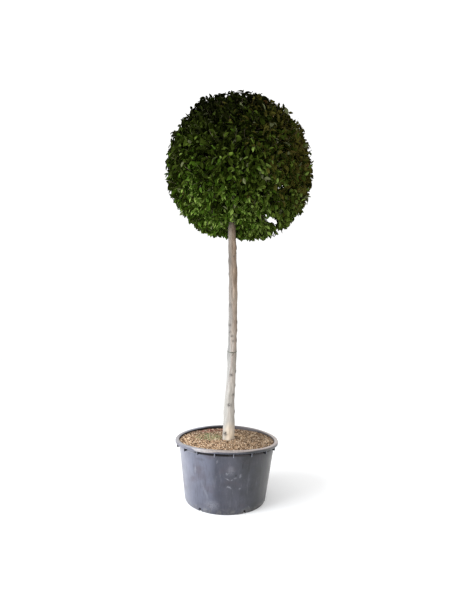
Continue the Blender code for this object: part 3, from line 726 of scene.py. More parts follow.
def soil_brown():
    """Coarse bark-and-pumice soil, mossy to the left of the stem and reddish behind it."""
    finish = Finish("soil_brown", (0.24, 0.16, 0.10), 0.95, specular=0.15)
    grains = finish.noise(60.0, 6.0, 0.75)
    finish.colour = finish.ramp(grains, (0.34, (0.055, 0.030, 0.015)), (0.46, (0.190, 0.120, 0.068)),
                                (0.57, (0.292, 0.208, 0.134)), (0.70, (0.450, 0.355, 0.245)))
    patchy = finish.range(finish.noise(9.0, 4.0), 0.42, 0.58)
    back = finish.spot((-0.20, 0.34, 0.0), 0.24, (0.7, 1.5, 0.0))
    finish.coat(finish.times(patchy, back), (0.300, 0.120, 0.090))
    moss = finish.spot((*MOSS[0], 0.0), 0.15, (1.0, 0.85, 0.0))
    finish.coat(finish.times(patchy, moss), (0.165, 0.165, 0.075))
    # Painted shade in the crevice to the right of the stem.
    crevice_shade = finish.spot((ROOT_HOLLOW.x, ROOT_HOLLOW.y * 0.6, 0.0), 0.046, (1.0, 0.6, 0.0))
    finish.coat(finish.range(crevice_shade, 0.0, 0.4), (0.020, 0.011, 0.006))
    # Painted shade: the soil's sides inside the pot, below its top, near black.
    finish.coat(finish.range(finish.axis("Z"), 0.42, 0.36), (0.012, 0.009, 0.007))
    finish.grain(0.8, 0.004, 160.0, 5.0, 0.7)
    return soil_light_and_shade(finish)


def crumb_finish(name, colour, darker):
    finish = Finish(name, colour, 0.92, specular=0.2)
    finish.colour = finish.ramp(finish.noise(90.0, 3.0), (0.35, darker), (0.65, colour))
    finish.grain(0.5, 0.001, 500.0, 3.0)
    return soil_light_and_shade(finish)


def hornbeam_bark(name, pale, brown, dark):
    """Smooth grey bark with long streaks and dark scars, with painted light and shade: a cold grey on its
    sky-lit side, paler towards the foot, darker under the crown and in patches.
    """
    finish = Finish(name, pale, 0.78, specular=0.25)
    streaks = finish.noise(1.6, 6.0, 0.62, 0.4, stretch=(26.0, 26.0, 2.2))
    midway = tuple((a + b) / 2 for a, b in zip(pale, brown))
    finish.colour = finish.ramp(streaks, (0.34, brown), (0.50, midway), (0.62, pale))
    patches = finish.noise(2.0, 4.0, 0.6, 0.6, stretch=(11.0, 11.0, 7.0))
    finish.stain(patches, 0.50, 0.66, 0.50, (0.225, 0.222, 0.195))
    blotches = finish.noise(2.0, 4.0, 0.6, 0.8, stretch=(13.0, 13.0, 5.0), shift=(2.0, 5.0, 1.0))
    finish.stain(blotches, 0.52, 0.68, 0.50, (0.290, 0.215, 0.175))
    # Painted light: a cold grey on the side the sky lights.
    cold = finish.ramp(streaks, (0.36, (0.120, 0.120, 0.118)), (0.60, (0.195, 0.194, 0.190)))
    finish.coat(finish.attribute("skylit"), cold)
    cracks = finish.noise(1.0, 5.0, 0.7, stretch=(90.0, 90.0, 9.0))
    finish.stain(cracks, 0.60, 0.76, 0.55, dark)
    # Paler towards the foot: its own paler bark there, and painted light.
    finish.stain(finish.axis("Z"), 1.45, 0.85, 0.60, (0.350, 0.336, 0.308))
    # Painted shade of the crown: darker and warmer up the stem.
    finish.tint(finish.range(finish.axis("Z"), 1.25, 2.05), (0.72, 0.62, 0.53))
    # Painted shade in patches on the stem.
    finish.tint_patches(STEM_SHADE_PATCHES)
    flare = finish.spot((0.030, -0.050, 0.560), 0.130, (1.6, 1.0, 1.0))
    finish.coat(finish.times(flare, 0.95), (0.640, 0.530, 0.400))
    finish.coat(finish.times(finish.attribute("chafe"), 0.65), (0.150, 0.078, 0.064))
    finish.coat(finish.attribute("scar"), dark)
    coarse = finish.bump(streaks, 0.35, 0.003)
    finish.bump(cracks, 0.5, 0.0015, coarse)
    return finish.painted()


def twig_bark():
    finish = Finish("twig_bark", (0.105, 0.080, 0.050), 0.75, specular=0.25)
    finish.colour = finish.ramp(finish.noise(35.0, 4.0), (0.38, (0.060, 0.045, 0.028)),
                                (0.62, (0.150, 0.120, 0.075)))
    finish.grain(0.4, 0.0008, 300.0, 3.0)
    return finish.painted()


def tie_finish():
    finish = Finish("tie_green", (0.045, 0.050, 0.030), 0.50)
    finish.colour = finish.ramp(finish.noise(120.0, 3.0), (0.35, (0.030, 0.034, 0.020)),
                                (0.70, (0.075, 0.085, 0.050)))
    finish.grain(0.4, 0.0006, 260.0, 3.0, stretch=(1.0, 1.0, 6.0))
    return finish.painted()


def leaf_finish(name, colour, roughness):
    """One plain leaf colour, with a slightly uneven gloss and a fine grain."""
    finish = Finish(name, colour, roughness, specular=0.03)
    gloss = finish.range(finish.noise(40.0, 2.0), 0.3, 0.7, roughness - 0.06, roughness + 0.08)
    finish.shade("Roughness", gloss)
    finish.grain(0.25, 0.0006, 420.0, 2.0)
    return finish.material


# Node trees that set shapes in place

def growth_tree(name, *inputs):
    """A new node tree and what it is given: a base mesh, its named inputs and a finish."""
    tree = bpy.data.node_groups.new(name, "GeometryNodeTree")
    for label, kind in (("Geometry", "Geometry"), *inputs, ("Finish", "Material")):
        tree.interface.new_socket(label, in_out="INPUT", socket_type="NodeSocket" + kind)
    tree.interface.new_socket("Geometry", in_out="OUTPUT", socket_type="NodeSocketGeometry")
    return tree, wired(tree, "NodeGroupInput", {})


def made_real(tree, given, **placed_by):
    """End a tree: its shape placed on points, made real mesh, and given its finish."""
    shape = wired(tree, "GeometryNodeObjectInfo", {"Object": given["Shape"]})["Geometry"]
    placed = wired(tree, "GeometryNodeInstanceOnPoints", {"Instance": shape, **placed_by})[0]
    real = wired(tree, "GeometryNodeRealizeInstances", {0: placed})[0]
    painted = wired(tree, "GeometryNodeSetMaterial", {"Geometry": real, "Material": given["Finish"]})[0]
    wired(tree, "NodeGroupOutput", {0: painted})
    return tree


def ring_tree():
    """Node tree: copies of a shape turned round the Z axis, as real mesh."""
    tree, given = growth_tree("ring_of_gussets",
                              ("Shape", "Object"), ("Count", "Int"), ("First Turn", "Float"))
    points = wired(tree, "GeometryNodeMeshLine", {"Count": given["Count"], "Offset": (0, 0, 0)})["Mesh"]
    step = wired(tree, "ShaderNodeMath", {0: math.tau, 1: given["Count"]}, operation="DIVIDE")[0]
    index = wired(tree, "GeometryNodeInputIndex", {})[0]
    turn = wired(tree, "ShaderNodeMath",
                 {0: index, 1: step, 2: given["First Turn"]}, operation="MULTIPLY_ADD")[0]
    heading = wired(tree, "ShaderNodeCombineXYZ", {"Z": turn})[0]
    return made_real(tree, given, Points=points, Rotation=heading)


def scatter_tree():
    """Node tree: small shapes scattered over a surface by its density attribute, as real mesh."""
    tree, given = growth_tree("scattered_crumbs",
                              ("Shape", "Object"), ("Density", "Float"), ("Spread", "String"),
                              ("Smallest", "Float"), ("Largest", "Float"), ("Seed", "Int"))
    seed = given["Seed"]
    spread = wired(tree, "GeometryNodeInputNamedAttribute", {"Name": given["Spread"]}, data_type="FLOAT")
    density = wired(tree, "ShaderNodeMath",
                    {0: spread["Attribute"], 1: given["Density"]}, operation="MULTIPLY")[0]
    points = wired(tree, "GeometryNodeDistributePointsOnFaces",
                   {"Mesh": given["Geometry"], "Density": density, "Seed": seed})["Points"]
    size = wired(tree, "FunctionNodeRandomValue",
                 {2: given["Smallest"], 3: given["Largest"], "Seed": seed}, data_type="FLOAT")[1]
    tumble = wired(tree, "FunctionNodeRandomValue",
                   {1: (math.tau,) * 3, "Seed": seed}, data_type="FLOAT_VECTOR")[0]
    return made_real(tree, given, Points=points, Rotation=tumble, Scale=size)


def grown_by(tree, name, base_mesh, **values):
    """The plain mesh that a node tree makes from a base mesh and its named inputs."""
    host = add_piece(name + "_base", base_mesh, None)
    modifier = host.modifiers.new("grow", "NODES")
    modifier.node_group = tree
    sockets = {item.name: item.identifier for item in tree.interface.items_tree
               if item.in_out == "INPUT" and item.socket_type != "NodeSocketGeometry"}
    for label, value in values.items():
        modifier[sockets[label.replace("_", " ")]] = value
    mesh = realised(host)
    mesh.name = name
    bpy.data.objects.remove(host)
    return mesh


# The pot

def wall_radius(height):
    flare = (RIM_RADIUS - LIP_OVERHANG - FOOT_RADIUS) / SKIRT_FOOT
    return FOOT_RADIUS + flare * height


def arc(middle, radius, first, last, steps):
    """Points on a round stretch of a section, between two angles in degrees."""
    points = []
    for step in range(steps + 1):
        turn = math.radians(first + (last - first) * step / steps)
        points.append((middle[0] + radius * math.cos(turn), middle[1] + radius * math.sin(turn)))
    return points


def pot_profile():
    """The pot's section, from the middle of the underside out, up, over the lip and in again."""
    plate_under = POT_HEIGHT - WALL
    skirt_inner = RIM_RADIUS - WALL
    mouth = wall_radius(POT_HEIGHT - LIP_ROUND) - WALL
    foot_inner = FOOT_RADIUS - FOOT_STEP
    profile = [(0.0, 0.0), (foot_inner * 0.5, 0.0)]
    profile += arc((foot_inner - FOOT_ROUND, FOOT_ROUND), FOOT_ROUND, -90, 0, 4)
    profile += [(foot_inner, FOOT_STEP_HEIGHT),
                (wall_radius(FOOT_STEP_HEIGHT) - CHAMFER, FOOT_STEP_HEIGHT + CHAMFER)]
    low = FOOT_STEP_HEIGHT + 0.003
    for step in range(POT_WALL_STEPS + 1):
        height = low + (plate_under - low) * step / POT_WALL_STEPS
        profile.append((wall_radius(height), height))
    profile += [(skirt_inner, plate_under), (skirt_inner, SKIRT_FOOT + CHAMFER)]
    profile += arc((RIM_RADIUS - WALL / 2, SKIRT_FOOT + WALL / 2), WALL / 2, -150, 0, 6)
    profile += arc((RIM_RADIUS - LIP_ROUND, POT_HEIGHT - LIP_ROUND), LIP_ROUND, 0, 90, 8)
    profile += arc((mouth + LIP_ROUND, POT_HEIGHT - LIP_ROUND), LIP_ROUND, 90, 180, 8)
    for step in range(1, POT_WALL_STEPS):
        fall = (FLOOR + FLOOR_ROUND - POT_HEIGHT + LIP_ROUND) * step / POT_WALL_STEPS
        height = (POT_HEIGHT - LIP_ROUND) + fall
        profile.append((wall_radius(height) - WALL, height))
    corner = wall_radius(FLOOR + FLOOR_ROUND) - WALL - FLOOR_ROUND
    profile += arc((corner, FLOOR + FLOOR_ROUND), FLOOR_ROUND, 0, -90, 3)
    profile.append((0.0, FLOOR))
    return profile


def settle(mesh):
    """Lower the pot's rim at its two sides, and keep each point's height before that for the finish."""
    level = mesh.attributes.new("level", "FLOAT", "POINT").data
    for index, vert in enumerate(mesh.vertices):
        level[index].value = vert.co.z
        side = vert.co.x / max(vert.co.xy.length, 0.01)
        share = max(0.0, (vert.co.z - SAG_FOOT) / (POT_HEIGHT - SAG_FOOT))
        vert.co.z -= SIDE_SAG * side * side * share * share


def drain_cutter(turn):
    """An arch pushed in through the foot's edge, and out through the floor below."""
    arch_radius = DRAIN_WIDTH / 2
    outline = [(-arch_radius, -FLOOR), (arch_radius, -FLOOR)]
    outline += arc((0.0, DRAIN_HEIGHT - arch_radius), arch_radius, 0, 180, DRAIN_ARCH_STEPS)
    reach = FOOT_RADIUS + WALL * 4 - DRAIN_INNER_RADIUS
    cutter = extruded(outline, reach)
    bmesh.ops.translate(cutter, verts=cutter.verts, vec=(0, -DRAIN_INNER_RADIUS - reach / 2, 0))
    bmesh.ops.rotate(cutter, verts=cutter.verts, matrix=Matrix.Rotation(turn, 3, "Z"))
    return add_piece("drain_cutter", mesh_from("drain_cutter", cutter), None)


def gusset_shape():
    """One radial plate under the lip, at +X. Its narrow edges are marked for a painted highlight."""
    low = SKIRT_FOOT - GUSSET_DEPTH
    outer = RIM_RADIUS - WALL / 2
    top = POT_HEIGHT - WALL / 2
    plate = extruded([
        (wall_radius(low) - WALL / 2, low + GUSSET_RISE),
        (wall_radius(low) + WALL / 2, low + GUSSET_RISE),
        (outer - WALL, low),
        (outer - WALL / 3, low + WALL),
        (outer, SKIRT_FOOT + WALL / 2),
        (outer, top),
        (wall_radius(top) - WALL / 2, top),
    ], GUSSET_THICKNESS)
    bmesh.ops.bevel(plate, geom=plate.edges, offset=GUSSET_EDGE, segments=1, affect="EDGES")
    mesh = mesh_from("gusset_shape", plate)
    lit_edge = mesh.attributes.new("lit_edge", "FLOAT", "CORNER").data
    for face in mesh.polygons:
        for corner in face.loop_indices:
            lit_edge[corner].value = 1.0 if abs(face.normal.y) < 0.9 else 0.0
    return mesh


def add_pot():
    plastic = pot_plastic()
    shell = add_piece("pot_cut", mesh_from("pot_shell", turned(pot_profile(), POT_SIDES)), None)
    for index in range(DRAIN_COUNT):
        cutter = drain_cutter(DRAIN_FIRST + math.tau * index / DRAIN_COUNT)
        cut = shell.modifiers.new("drain", "BOOLEAN")
        cut.operation = "DIFFERENCE"
        cut.object = cutter
        shell.data = realised(shell)
        bpy.data.objects.remove(cutter)
    settle(shell.data)
    mesh = smoothed(shell.data, 32.0)
    bpy.data.objects.remove(shell)
    add_piece("pot_shell", mesh, plastic, "pot")
    plate = add_piece("gusset_plate", gusset_shape(), None)
    pale = gusset_plastic()
    gussets = grown_by(ring_tree(), "pot_gussets", bpy.data.meshes.new("ring_base"),
                       Shape=plate, Count=GUSSET_COUNT, First_Turn=FRONT + GUSSET_FIRST, Finish=pale)
    bpy.data.objects.remove(plate)
    settle(gussets)
    add_piece("pot_gussets", smoothed(gussets, 30.0), pale, "pot")


# The soil

def soil_height(x, y):
    """The soil's surface: level round the stem, lumpy beyond it, and lower at the wall."""
    reach = math.hypot(x, y)
    edge = wall_radius(POT_HEIGHT - SOIL_BELOW_RIM) - WALL
    share = max(0.0, (reach - SOIL_FLAT_RADIUS) / (edge - SOIL_FLAT_RADIUS))
    height = POT_HEIGHT - SOIL_BELOW_RIM + SOIL_CROWNING * (1.0 - share * share)
    for scale, depth in SOIL_LUMPS:
        height += noise.noise(Vector((x, y, 0.0)) * scale) * depth
    hollow = (Vector((x, y)) - ROOT_HOLLOW).length / ROOT_HOLLOW_RADIUS
    height -= ROOT_HOLLOW_DEPTH * math.exp(-hollow * hollow)
    return height - SOIL_EDGE_DROP * share ** 12


def patch_share(x, y, middle, reach, fullness, level, scale):
    """How thick a ragged patch lies on the soil at a place."""
    offset = Vector((x, y)) - middle
    away = math.hypot(offset.x / reach.x, offset.y / reach.y)
    return max(0.0, 1.0 - away) * max(0.0, fullness + noise.noise(Vector((x, y, level)) * scale))


def soil_surface():
    """The soil's top as rings of points, from the wall to the middle."""
    edge = wall_radius(POT_HEIGHT - SOIL_BELOW_RIM) - WALL - GAP
    rings = []
    for ring in range(SOIL_RINGS):
        reach = edge * (1.0 - ring / SOIL_RINGS)
        rings.append([(reach * math.cos(math.tau * side / SOIL_SIDES),
                       reach * math.sin(math.tau * side / SOIL_SIDES)) for side in range(SOIL_SIDES)])
    return rings


def add_soil():
    """The filled pot's soil: a lumpy top, and plain sides and floor that show through the drain slots."""
    rings = soil_surface()
    low = FLOOR + GAP
    foot = wall_radius(low) - WALL - SOIL_FOOT_INSET
    shape = bmesh.new()
    loops = [[shape.verts.new((foot * x / math.hypot(x, y), foot * y / math.hypot(x, y), low))
              for x, y in rings[0]]]
    loops += [[shape.verts.new((x, y, soil_height(x, y))) for x, y in ring] for ring in rings]
    skin(shape, loops)
    middle = shape.verts.new((0, 0, soil_height(0.0, 0.0)))
    for side in range(SOIL_SIDES):
        shape.faces.new((loops[-1][side], loops[-1][(side + 1) % SOIL_SIDES], middle))
    brown = soil_brown()
    add_piece("soil_surface", mesh_from("soil_surface", shape, 60.0), brown, "soil")
    add_crumbs(rings)


def crumb_shape(name, seed, flatness):
    """An angular crumb of twenty faces, about 1 m across before it is scaled."""
    chance = random.Random(seed)
    shape = bmesh.new()
    bmesh.ops.create_icosphere(shape, subdivisions=1, radius=0.5)
    for vert in shape.verts:
        vert.co *= chance.uniform(0.75, 1.1)
        vert.co.z *= flatness
        vert.co.x *= 1.25
    return mesh_from(name, shape)


def crumb_ground(rings):
    """The top of the soil alone, with attributes for where crumbs and moss lie."""
    points, faces = [], []
    shares = {"everywhere": [], "mossy": [], "reddish": []}
    stem = trunk_centre(TRUNK_FOOT).x
    for ring in rings:
        for x, y in ring:
            points.append((x, y, soil_height(x, y)))
            inside = math.hypot(x, y) < math.hypot(*rings[1][0])
            clear_of_stem = inside and math.hypot(x - stem, y) > STEM_CLEARANCE
            clear_of_hollow = (Vector((x, y)) - ROOT_HOLLOW).length > ROOT_HOLLOW_RADIUS
            shares["everywhere"].append(1.0 if clear_of_stem and clear_of_hollow else 0.0)
            shares["mossy"].append(patch_share(x, y, *MOSS) if clear_of_stem else 0.0)
            shares["reddish"].append(patch_share(x, y, *RED_BARK) if inside else 0.0)
    for ring in range(len(rings) - 1):
        first, second = ring * SOIL_SIDES, (ring + 1) * SOIL_SIDES
        for side in range(SOIL_SIDES):
            after = (side + 1) % SOIL_SIDES
            faces.append((first + side, first + after, second + after, second + side))
    mesh = bpy.data.meshes.new("crumb_ground")
    mesh.from_pydata(points, [], faces)
    keep_values(mesh, **shares)
    return mesh


def add_crumbs(rings):
    """Loose crumbs of bark, pumice and grit lying on the soil, and tufts of moss."""
    tree = scatter_tree()
    ground = crumb_ground(rings)
    for seed, (name, colour, darker, density, spread, smallest, largest, flatness) in enumerate(CRUMBS):
        crumb = add_piece(name + "_shape", crumb_shape(name + "_shape", seed, flatness), None)
        finish = crumb_finish(name, colour, darker)
        mesh = grown_by(tree, name, ground.copy(), Shape=crumb, Density=density, Spread=spread,
                        Smallest=smallest, Largest=largest, Seed=seed, Finish=finish)
        bpy.data.objects.remove(crumb)
        add_piece(name, mesh, finish, "soil")


# The trunk and its tie

def trunk_centre(height):
    away = max(height - BOW_HEIGHT, -BOW_REACH)
    bend = BOW_BELOW if away < 0 else BOW_ABOVE
    return Vector((BOW_OFFSET - bend * away * away, 0.0, height))


def trunk_radius(height):
    above = height - TRUNK_FOOT
    flare = FLARE_RADIUS * math.exp(-((above / FLARE_HEIGHT) ** 2))
    taper = TIP_TAPER * max(0.0, (height - BOW_HEIGHT) / (TRUNK_TIP - BOW_HEIGHT)) ** 2
    return STEM_RADIUS + flare - taper


def bark_noise(height, turn, around, along):
    """Uneven over the bark: how close together round the stem and along it."""
    return noise.noise(Vector((math.cos(turn) * around, math.sin(turn) * around, height * along)))


def trunk_swell(height, turn):
    lobes = ROOT_LOBE_DEPTH * math.exp(-(height - TRUNK_FOOT) / ROOT_LOBE_HEIGHT)
    swell = TRUNK_SWELL * bark_noise(height, turn, TRUNK_SWELL_SCALE, TRUNK_SWELL_RISE)
    return swell + lobes * math.cos(ROOT_LOBES * turn + ROOT_LOBE_TURN)


def stem_reach(height, turn):
    """From the trunk's middle line to its bark, without the bark's relief."""
    return trunk_radius(height) * (1.0 + trunk_swell(height, turn))


def beside_trunk(height, turn, reach):
    """The point at a height, an angle from +X and a distance from the trunk's middle line."""
    return trunk_centre(height) + Vector((math.cos(turn), math.sin(turn), 0.0)) * reach


def all_knots():
    """The knots that show, and others like them scattered over the back."""
    knots = [(height, math.radians(turn), size, rise) for height, turn, size, rise in FRONT_KNOTS]
    chance = random.Random(BACK_KNOT_SEED)
    for index in range(BACK_KNOT_COUNT):
        share = (index + chance.random()) * (TRUNK_TIP - TRUNK_FOOT - 2 * BACK_KNOT_MARGIN)
        height = TRUNK_FOOT + BACK_KNOT_MARGIN + share / BACK_KNOT_COUNT
        turn = math.radians(chance.uniform(*BACK_KNOT_TURNS))
        knots.append((height, turn, chance.uniform(*BACK_KNOT_SIZES), chance.uniform(*BACK_KNOT_RISES)))
    return knots


def knot_relief(height, turn, knots):
    """How far the knots and swellings raise the bark at a place, and how scarred it is there."""
    rise, scar = 0.0, 0.0
    for middle, side, size, out in STEM_SWELLINGS:
        around = math.remainder(turn - math.radians(side), math.tau) * trunk_radius(height)
        away = ((height - middle) ** 2 + around * around) / (size * size)
        rise += out * math.exp(-away)
    for knot_height, knot_turn, size, out in knots:
        along = (height - knot_height) / size
        if abs(along) > 3.0:
            continue
        around = math.remainder(turn - knot_turn, math.tau) * trunk_radius(height) / (size * 1.25)
        away = along * along + around * around
        if away > 9.0:
            continue
        rise += out * (math.exp(-away) - 0.75 * math.exp(-away * 5.0))
        ragged = 0.75 + 0.9 * bark_noise(height, turn, 4.0, 95.0)
        scar = max(scar, min(1.0, math.exp(-away * 1.3) * ragged))
    return rise, scar


def skylit_share(height, turn):
    """How far the bark is painted a cold grey, as light from the sky, on the side to the left of the front.
    """
    wander = 0.35 * bark_noise(height, turn, 2.0, 5.0)
    return min(1.0, max(0.0, 0.5 + 1.1 * (math.cos(turn - SKYLIT_TURN) - SKYLIT_EDGE) + wander))


def chafe_share(height, turn):
    """Two slanting bands below the tie where the bark is rubbed red."""
    slant = height - CHAFE_SLANT * math.cos(turn)
    return max(math.exp(-((slant - middle) / CHAFE_WIDTH) ** 2) for middle in CHAFE_HEIGHTS) * max(
        0.0, -math.sin(turn + 0.3))


def bark_relief(height, turn):
    relief = 0.0
    for around, along, depth in (BARK_FLUTES, BARK_RIDGES, BARK_BUMPS, BARK_GRAIN):
        relief += bark_noise(height, turn, around, along) * depth
    return relief


def add_trunk():
    knots = all_knots()
    ring_count = round((TRUNK_TIP - TRUNK_FOOT) / BARK_RING_STEP)
    shape = bmesh.new()
    shares = {"scar": [], "skylit": [], "chafe": []}
    loops = []
    for ring in range(ring_count + 1):
        height = TRUNK_FOOT + (TRUNK_TIP - TRUNK_FOOT) * ring / ring_count
        loop = []
        for side in range(BARK_SIDES):
            turn = math.tau * side / BARK_SIDES
            rise, scar = knot_relief(height, turn, knots)
            reach = stem_reach(height, turn) + bark_relief(height, turn) + rise
            loop.append(shape.verts.new(beside_trunk(height, turn, reach)))
            shares["scar"].append(scar)
            shares["skylit"].append(skylit_share(height, turn))
            shares["chafe"].append(chafe_share(height, turn))
        loops.append(loop)
    skin(shape, loops)
    shape.faces.new(loops[-1])
    mesh = mesh_from("trunk_bark", shape, 60.0)
    keep_values(mesh, **shares)
    bark = hornbeam_bark("stem_bark", (0.320, 0.280, 0.242), (0.185, 0.146, 0.115), (0.040, 0.034, 0.031))
    add_piece("trunk_bark", mesh, bark, "trunk")


def tie_radius(height, turn):
    """Snug on the bark all the way round."""
    return stem_reach(height, turn) + TIE_SPACE + TIE_THICKNESS / 2


def add_tie():
    """A thin green loop round the stem, lower in front, with a twist and a short tail."""
    limbs = Limbs()
    loop, tail, twist = [], [], []
    for step in range(TIE_STEPS + 1):
        turn = math.tau * step / TIE_STEPS + math.pi / 2
        height = TIE_HEIGHT + TIE_DROP / 2 * math.sin(turn) + TIE_WAVE * math.sin(2 * turn + 1.0)
        loop.append(beside_trunk(height, turn, tie_radius(height, turn)))
    front = TIE_HEIGHT - TIE_DROP / 2
    for step in range(TIE_TAIL_STEPS + 1):
        share = step / TIE_TAIL_STEPS
        height = front - TIE_TAIL_LENGTH * share
        turn = TIE_TAIL_TURN + 0.10 * math.sin(share * 5.0)
        reach = tie_radius(height, turn) + TIE_TAIL_SPACE + TIE_TAIL_LIFT * share
        tail.append(beside_trunk(height, turn, reach))
    for step in range(TIE_TWIST_STEPS + 1):
        turn = TIE_TAIL_TURN + math.radians(-TIE_TWIST_REACH + 2 * TIE_TWIST_REACH * step / TIE_TWIST_STEPS)
        swing = math.tau * TIE_TWIST_TURNS * step / TIE_TWIST_STEPS
        reach = tie_radius(front, turn) + TIE_THICKNESS * (0.4 + 0.35 * math.cos(swing))
        rise = Vector((0, 0, TIE_THICKNESS * 0.45 * math.sin(swing)))
        twist.append(beside_trunk(front, turn, reach) + rise)
    for path, share in ((loop, 0.50), (tail, 0.42), (twist, 0.36)):
        limbs.add(path, [TIE_THICKNESS * share] * len(path), TIE_SIDES)
    add_piece("tie_loop", limbs.mesh("tie_loop"), tie_finish(), "tie")


# The crown

def heading_of(turn, rise):
    """The unit heading at degrees from the front towards +X, and degrees above the level."""
    turn, rise = FRONT + math.radians(turn), math.radians(rise)
    return Vector((math.cos(turn) * math.cos(rise), math.sin(turn) * math.cos(rise), math.sin(rise)))


def placed(spots):
    """Each spot as its heading, its size and how fast it falls away from there."""
    return [(heading_of(turn, rise), size, -2.0 / math.radians(reach) ** 2)
            for turn, rise, size, reach in spots]


BULGES = placed(CROWN_BULGES)
SPOTS = placed(TONE_SPOTS)


def crown_outline(heading):
    """How far the clipped outline lies from the crown's centre, along a unit heading."""
    flat = math.hypot(heading.x, heading.y) / CROWN_RADIUS
    upright = heading.z / CROWN_HALF_HEIGHT
    lump = abs(noise.noise(heading * CROWN_LUMP_SCALE) * CROWN_LUMP_DEPTH)
    bulge = sum(share * math.exp(fall * (1.0 - heading.dot(middle))) for middle, share, fall in BULGES)
    fray = noise.noise(heading * CROWN_FRAY_SCALE + Vector((4.0, 0.0, 7.0))) * CROWN_FRAY_DEPTH
    return (1.0 - lump + bulge + fray) / math.hypot(flat, upright)


def crown_share(point):
    offset = point - CROWN_CENTRE
    return offset.length / crown_outline(offset.normalized())


def spiral_heading(index, height):
    """The unit heading at a height of the unit ball, turned by the golden angle for each index."""
    flat = math.sqrt(1.0 - height * height)
    turn = index * GOLDEN_ANGLE
    return Vector((flat * math.cos(turn), flat * math.sin(turn), height))


def spread_headings(count):
    """Unit headings spread evenly all round."""
    for index in range(count):
        yield spiral_heading(index, 1.0 - (2.0 * index + 1.0) / count)


def in_sky_gap(point):
    offset = point - CROWN_CENTRE - SKY_GAP_MIDDLE
    if noise.noise(point * SKY_GAP_STRAYS) > SKY_GAP_STRAY_LIMIT:
        return False
    along = SKY_GAP_SIDE - SKY_GAP_AXIS * SKY_GAP_SIDE.dot(SKY_GAP_AXIS)
    side = offset.dot(along.normalized()) / SKY_GAP_HALF_WIDTH
    rise = offset.dot(SKY_GAP_AXIS.cross(along).normalized()) / SKY_GAP_HALF_HEIGHT
    return math.hypot(side, rise) < 1.0


def in_recess(point):
    """Whether a point is in the hollow round the trunk, or in the trunk itself."""
    aside = (point - trunk_centre(point.z)).xy.length
    if point.z < TRUNK_TIP and aside < trunk_radius(point.z) + TRUNK_CLEARANCE:
        return True
    above = (point.z - (CROWN_CENTRE.z - CROWN_HALF_HEIGHT)) / RECESS_HEIGHT
    return aside < RECESS_RADIUS * (1.0 - above)


def fits(points):
    """Whether a twig or leaf through these points keeps to the crown's own space."""
    return not any(crown_share(point) > LEAF_LIMIT or in_sky_gap(point) or in_recess(point)
                   for point in points)


def leader_path():
    foot = trunk_centre(TRUNK_TIP)
    tip = foot + Vector((CROWN_CENTRE.x - foot.x, 0, LEADER_LENGTH))
    return [foot, between(foot, tip, 0.5) - Vector((LEADER_SAG, 0, 0)), tip]


def bough_paths(leader):
    """Each bough's path, as start, bend and end: round the leader by the golden angle."""
    paths = []
    for index in range(BOUGH_COUNT):
        share = index / (BOUGH_COUNT - 1)
        heading = spiral_heading(index, BOUGH_LOWEST + (BOUGH_HIGHEST - BOUGH_LOWEST) * share)
        start = between(leader[0], leader[-1], BOUGH_FIRST + (BOUGH_LAST - BOUGH_FIRST) * share)
        end = CROWN_CENTRE + heading * crown_outline(heading) * BOUGH_SHARE
        paths.append((start, between(start, end, 0.5) + Vector((0, 0, BOUGH_ARCH)), end))
    return paths


def strayed(heading, jitter, chance):
    return (heading + Vector([chance.gauss(0.0, jitter) for _ in range(3)])).normalized()


def taper(first, last, steps, radius=1.0):
    return [radius * (first + (last - first) * step / steps) for step in range(steps + 1)]


def add_boughs():
    """The leader and its boughs. Gives back points along the boughs for twigs to start from."""
    limbs = Limbs()
    leader = leader_path()
    radii = taper(*LEADER_TAPER, LIMB_STEPS, trunk_radius(TRUNK_TIP))
    limbs.add(curve_points(leader, LIMB_STEPS), radii, LEADER_SIDES)
    starts = []
    for path in bough_paths(leader):
        points = curve_points(path, LIMB_STEPS)
        limbs.add(points, taper(*BOUGH_TAPER, LIMB_STEPS, BOUGH_RADIUS), BOUGH_SIDES)
        starts += points[BARE_STEPS:]
    bark = hornbeam_bark("bough_bark", (0.110, 0.098, 0.080), (0.065, 0.052, 0.038), (0.026, 0.019, 0.014))
    add_piece("boughs", limbs.mesh("boughs"), bark, "crown")
    return starts


def nearest_finder(points):
    tree = KDTree(len(points))
    for index, point in enumerate(points):
        tree.insert(point, index)
    tree.balance()
    return tree


def grow_twigs(limbs, starts, chance):
    """Twigs from the boughs towards the outline. Gives back points along them for shoots."""
    finder = nearest_finder(starts)
    places = []
    for heading in spread_headings(TWIG_COUNT):
        heading = strayed(heading, TWIG_JITTER, chance)
        end = CROWN_CENTRE + heading * crown_outline(heading) * TWIG_SHARE
        start = Vector(finder.find(between(CROWN_CENTRE, end, TWIG_REACH))[0])
        bend = between(start, end, 0.5) + Vector([chance.uniform(-TWIG_BEND, TWIG_BEND) for _ in range(3)])
        points = curve_points((start, bend, end), TWIG_STEPS)
        if in_recess(end) or any(in_sky_gap(point) for point in points):
            continue
        limbs.add(points, taper(TWIG_RADIUS, TWIG_RADIUS * TWIG_TAPER, TWIG_STEPS), TWIG_SIDES)
        for place, next_place in zip(points[2:], points[3:]):
            places += [place, between(place, next_place, 0.5)]
        places.append(points[-1])
    return places


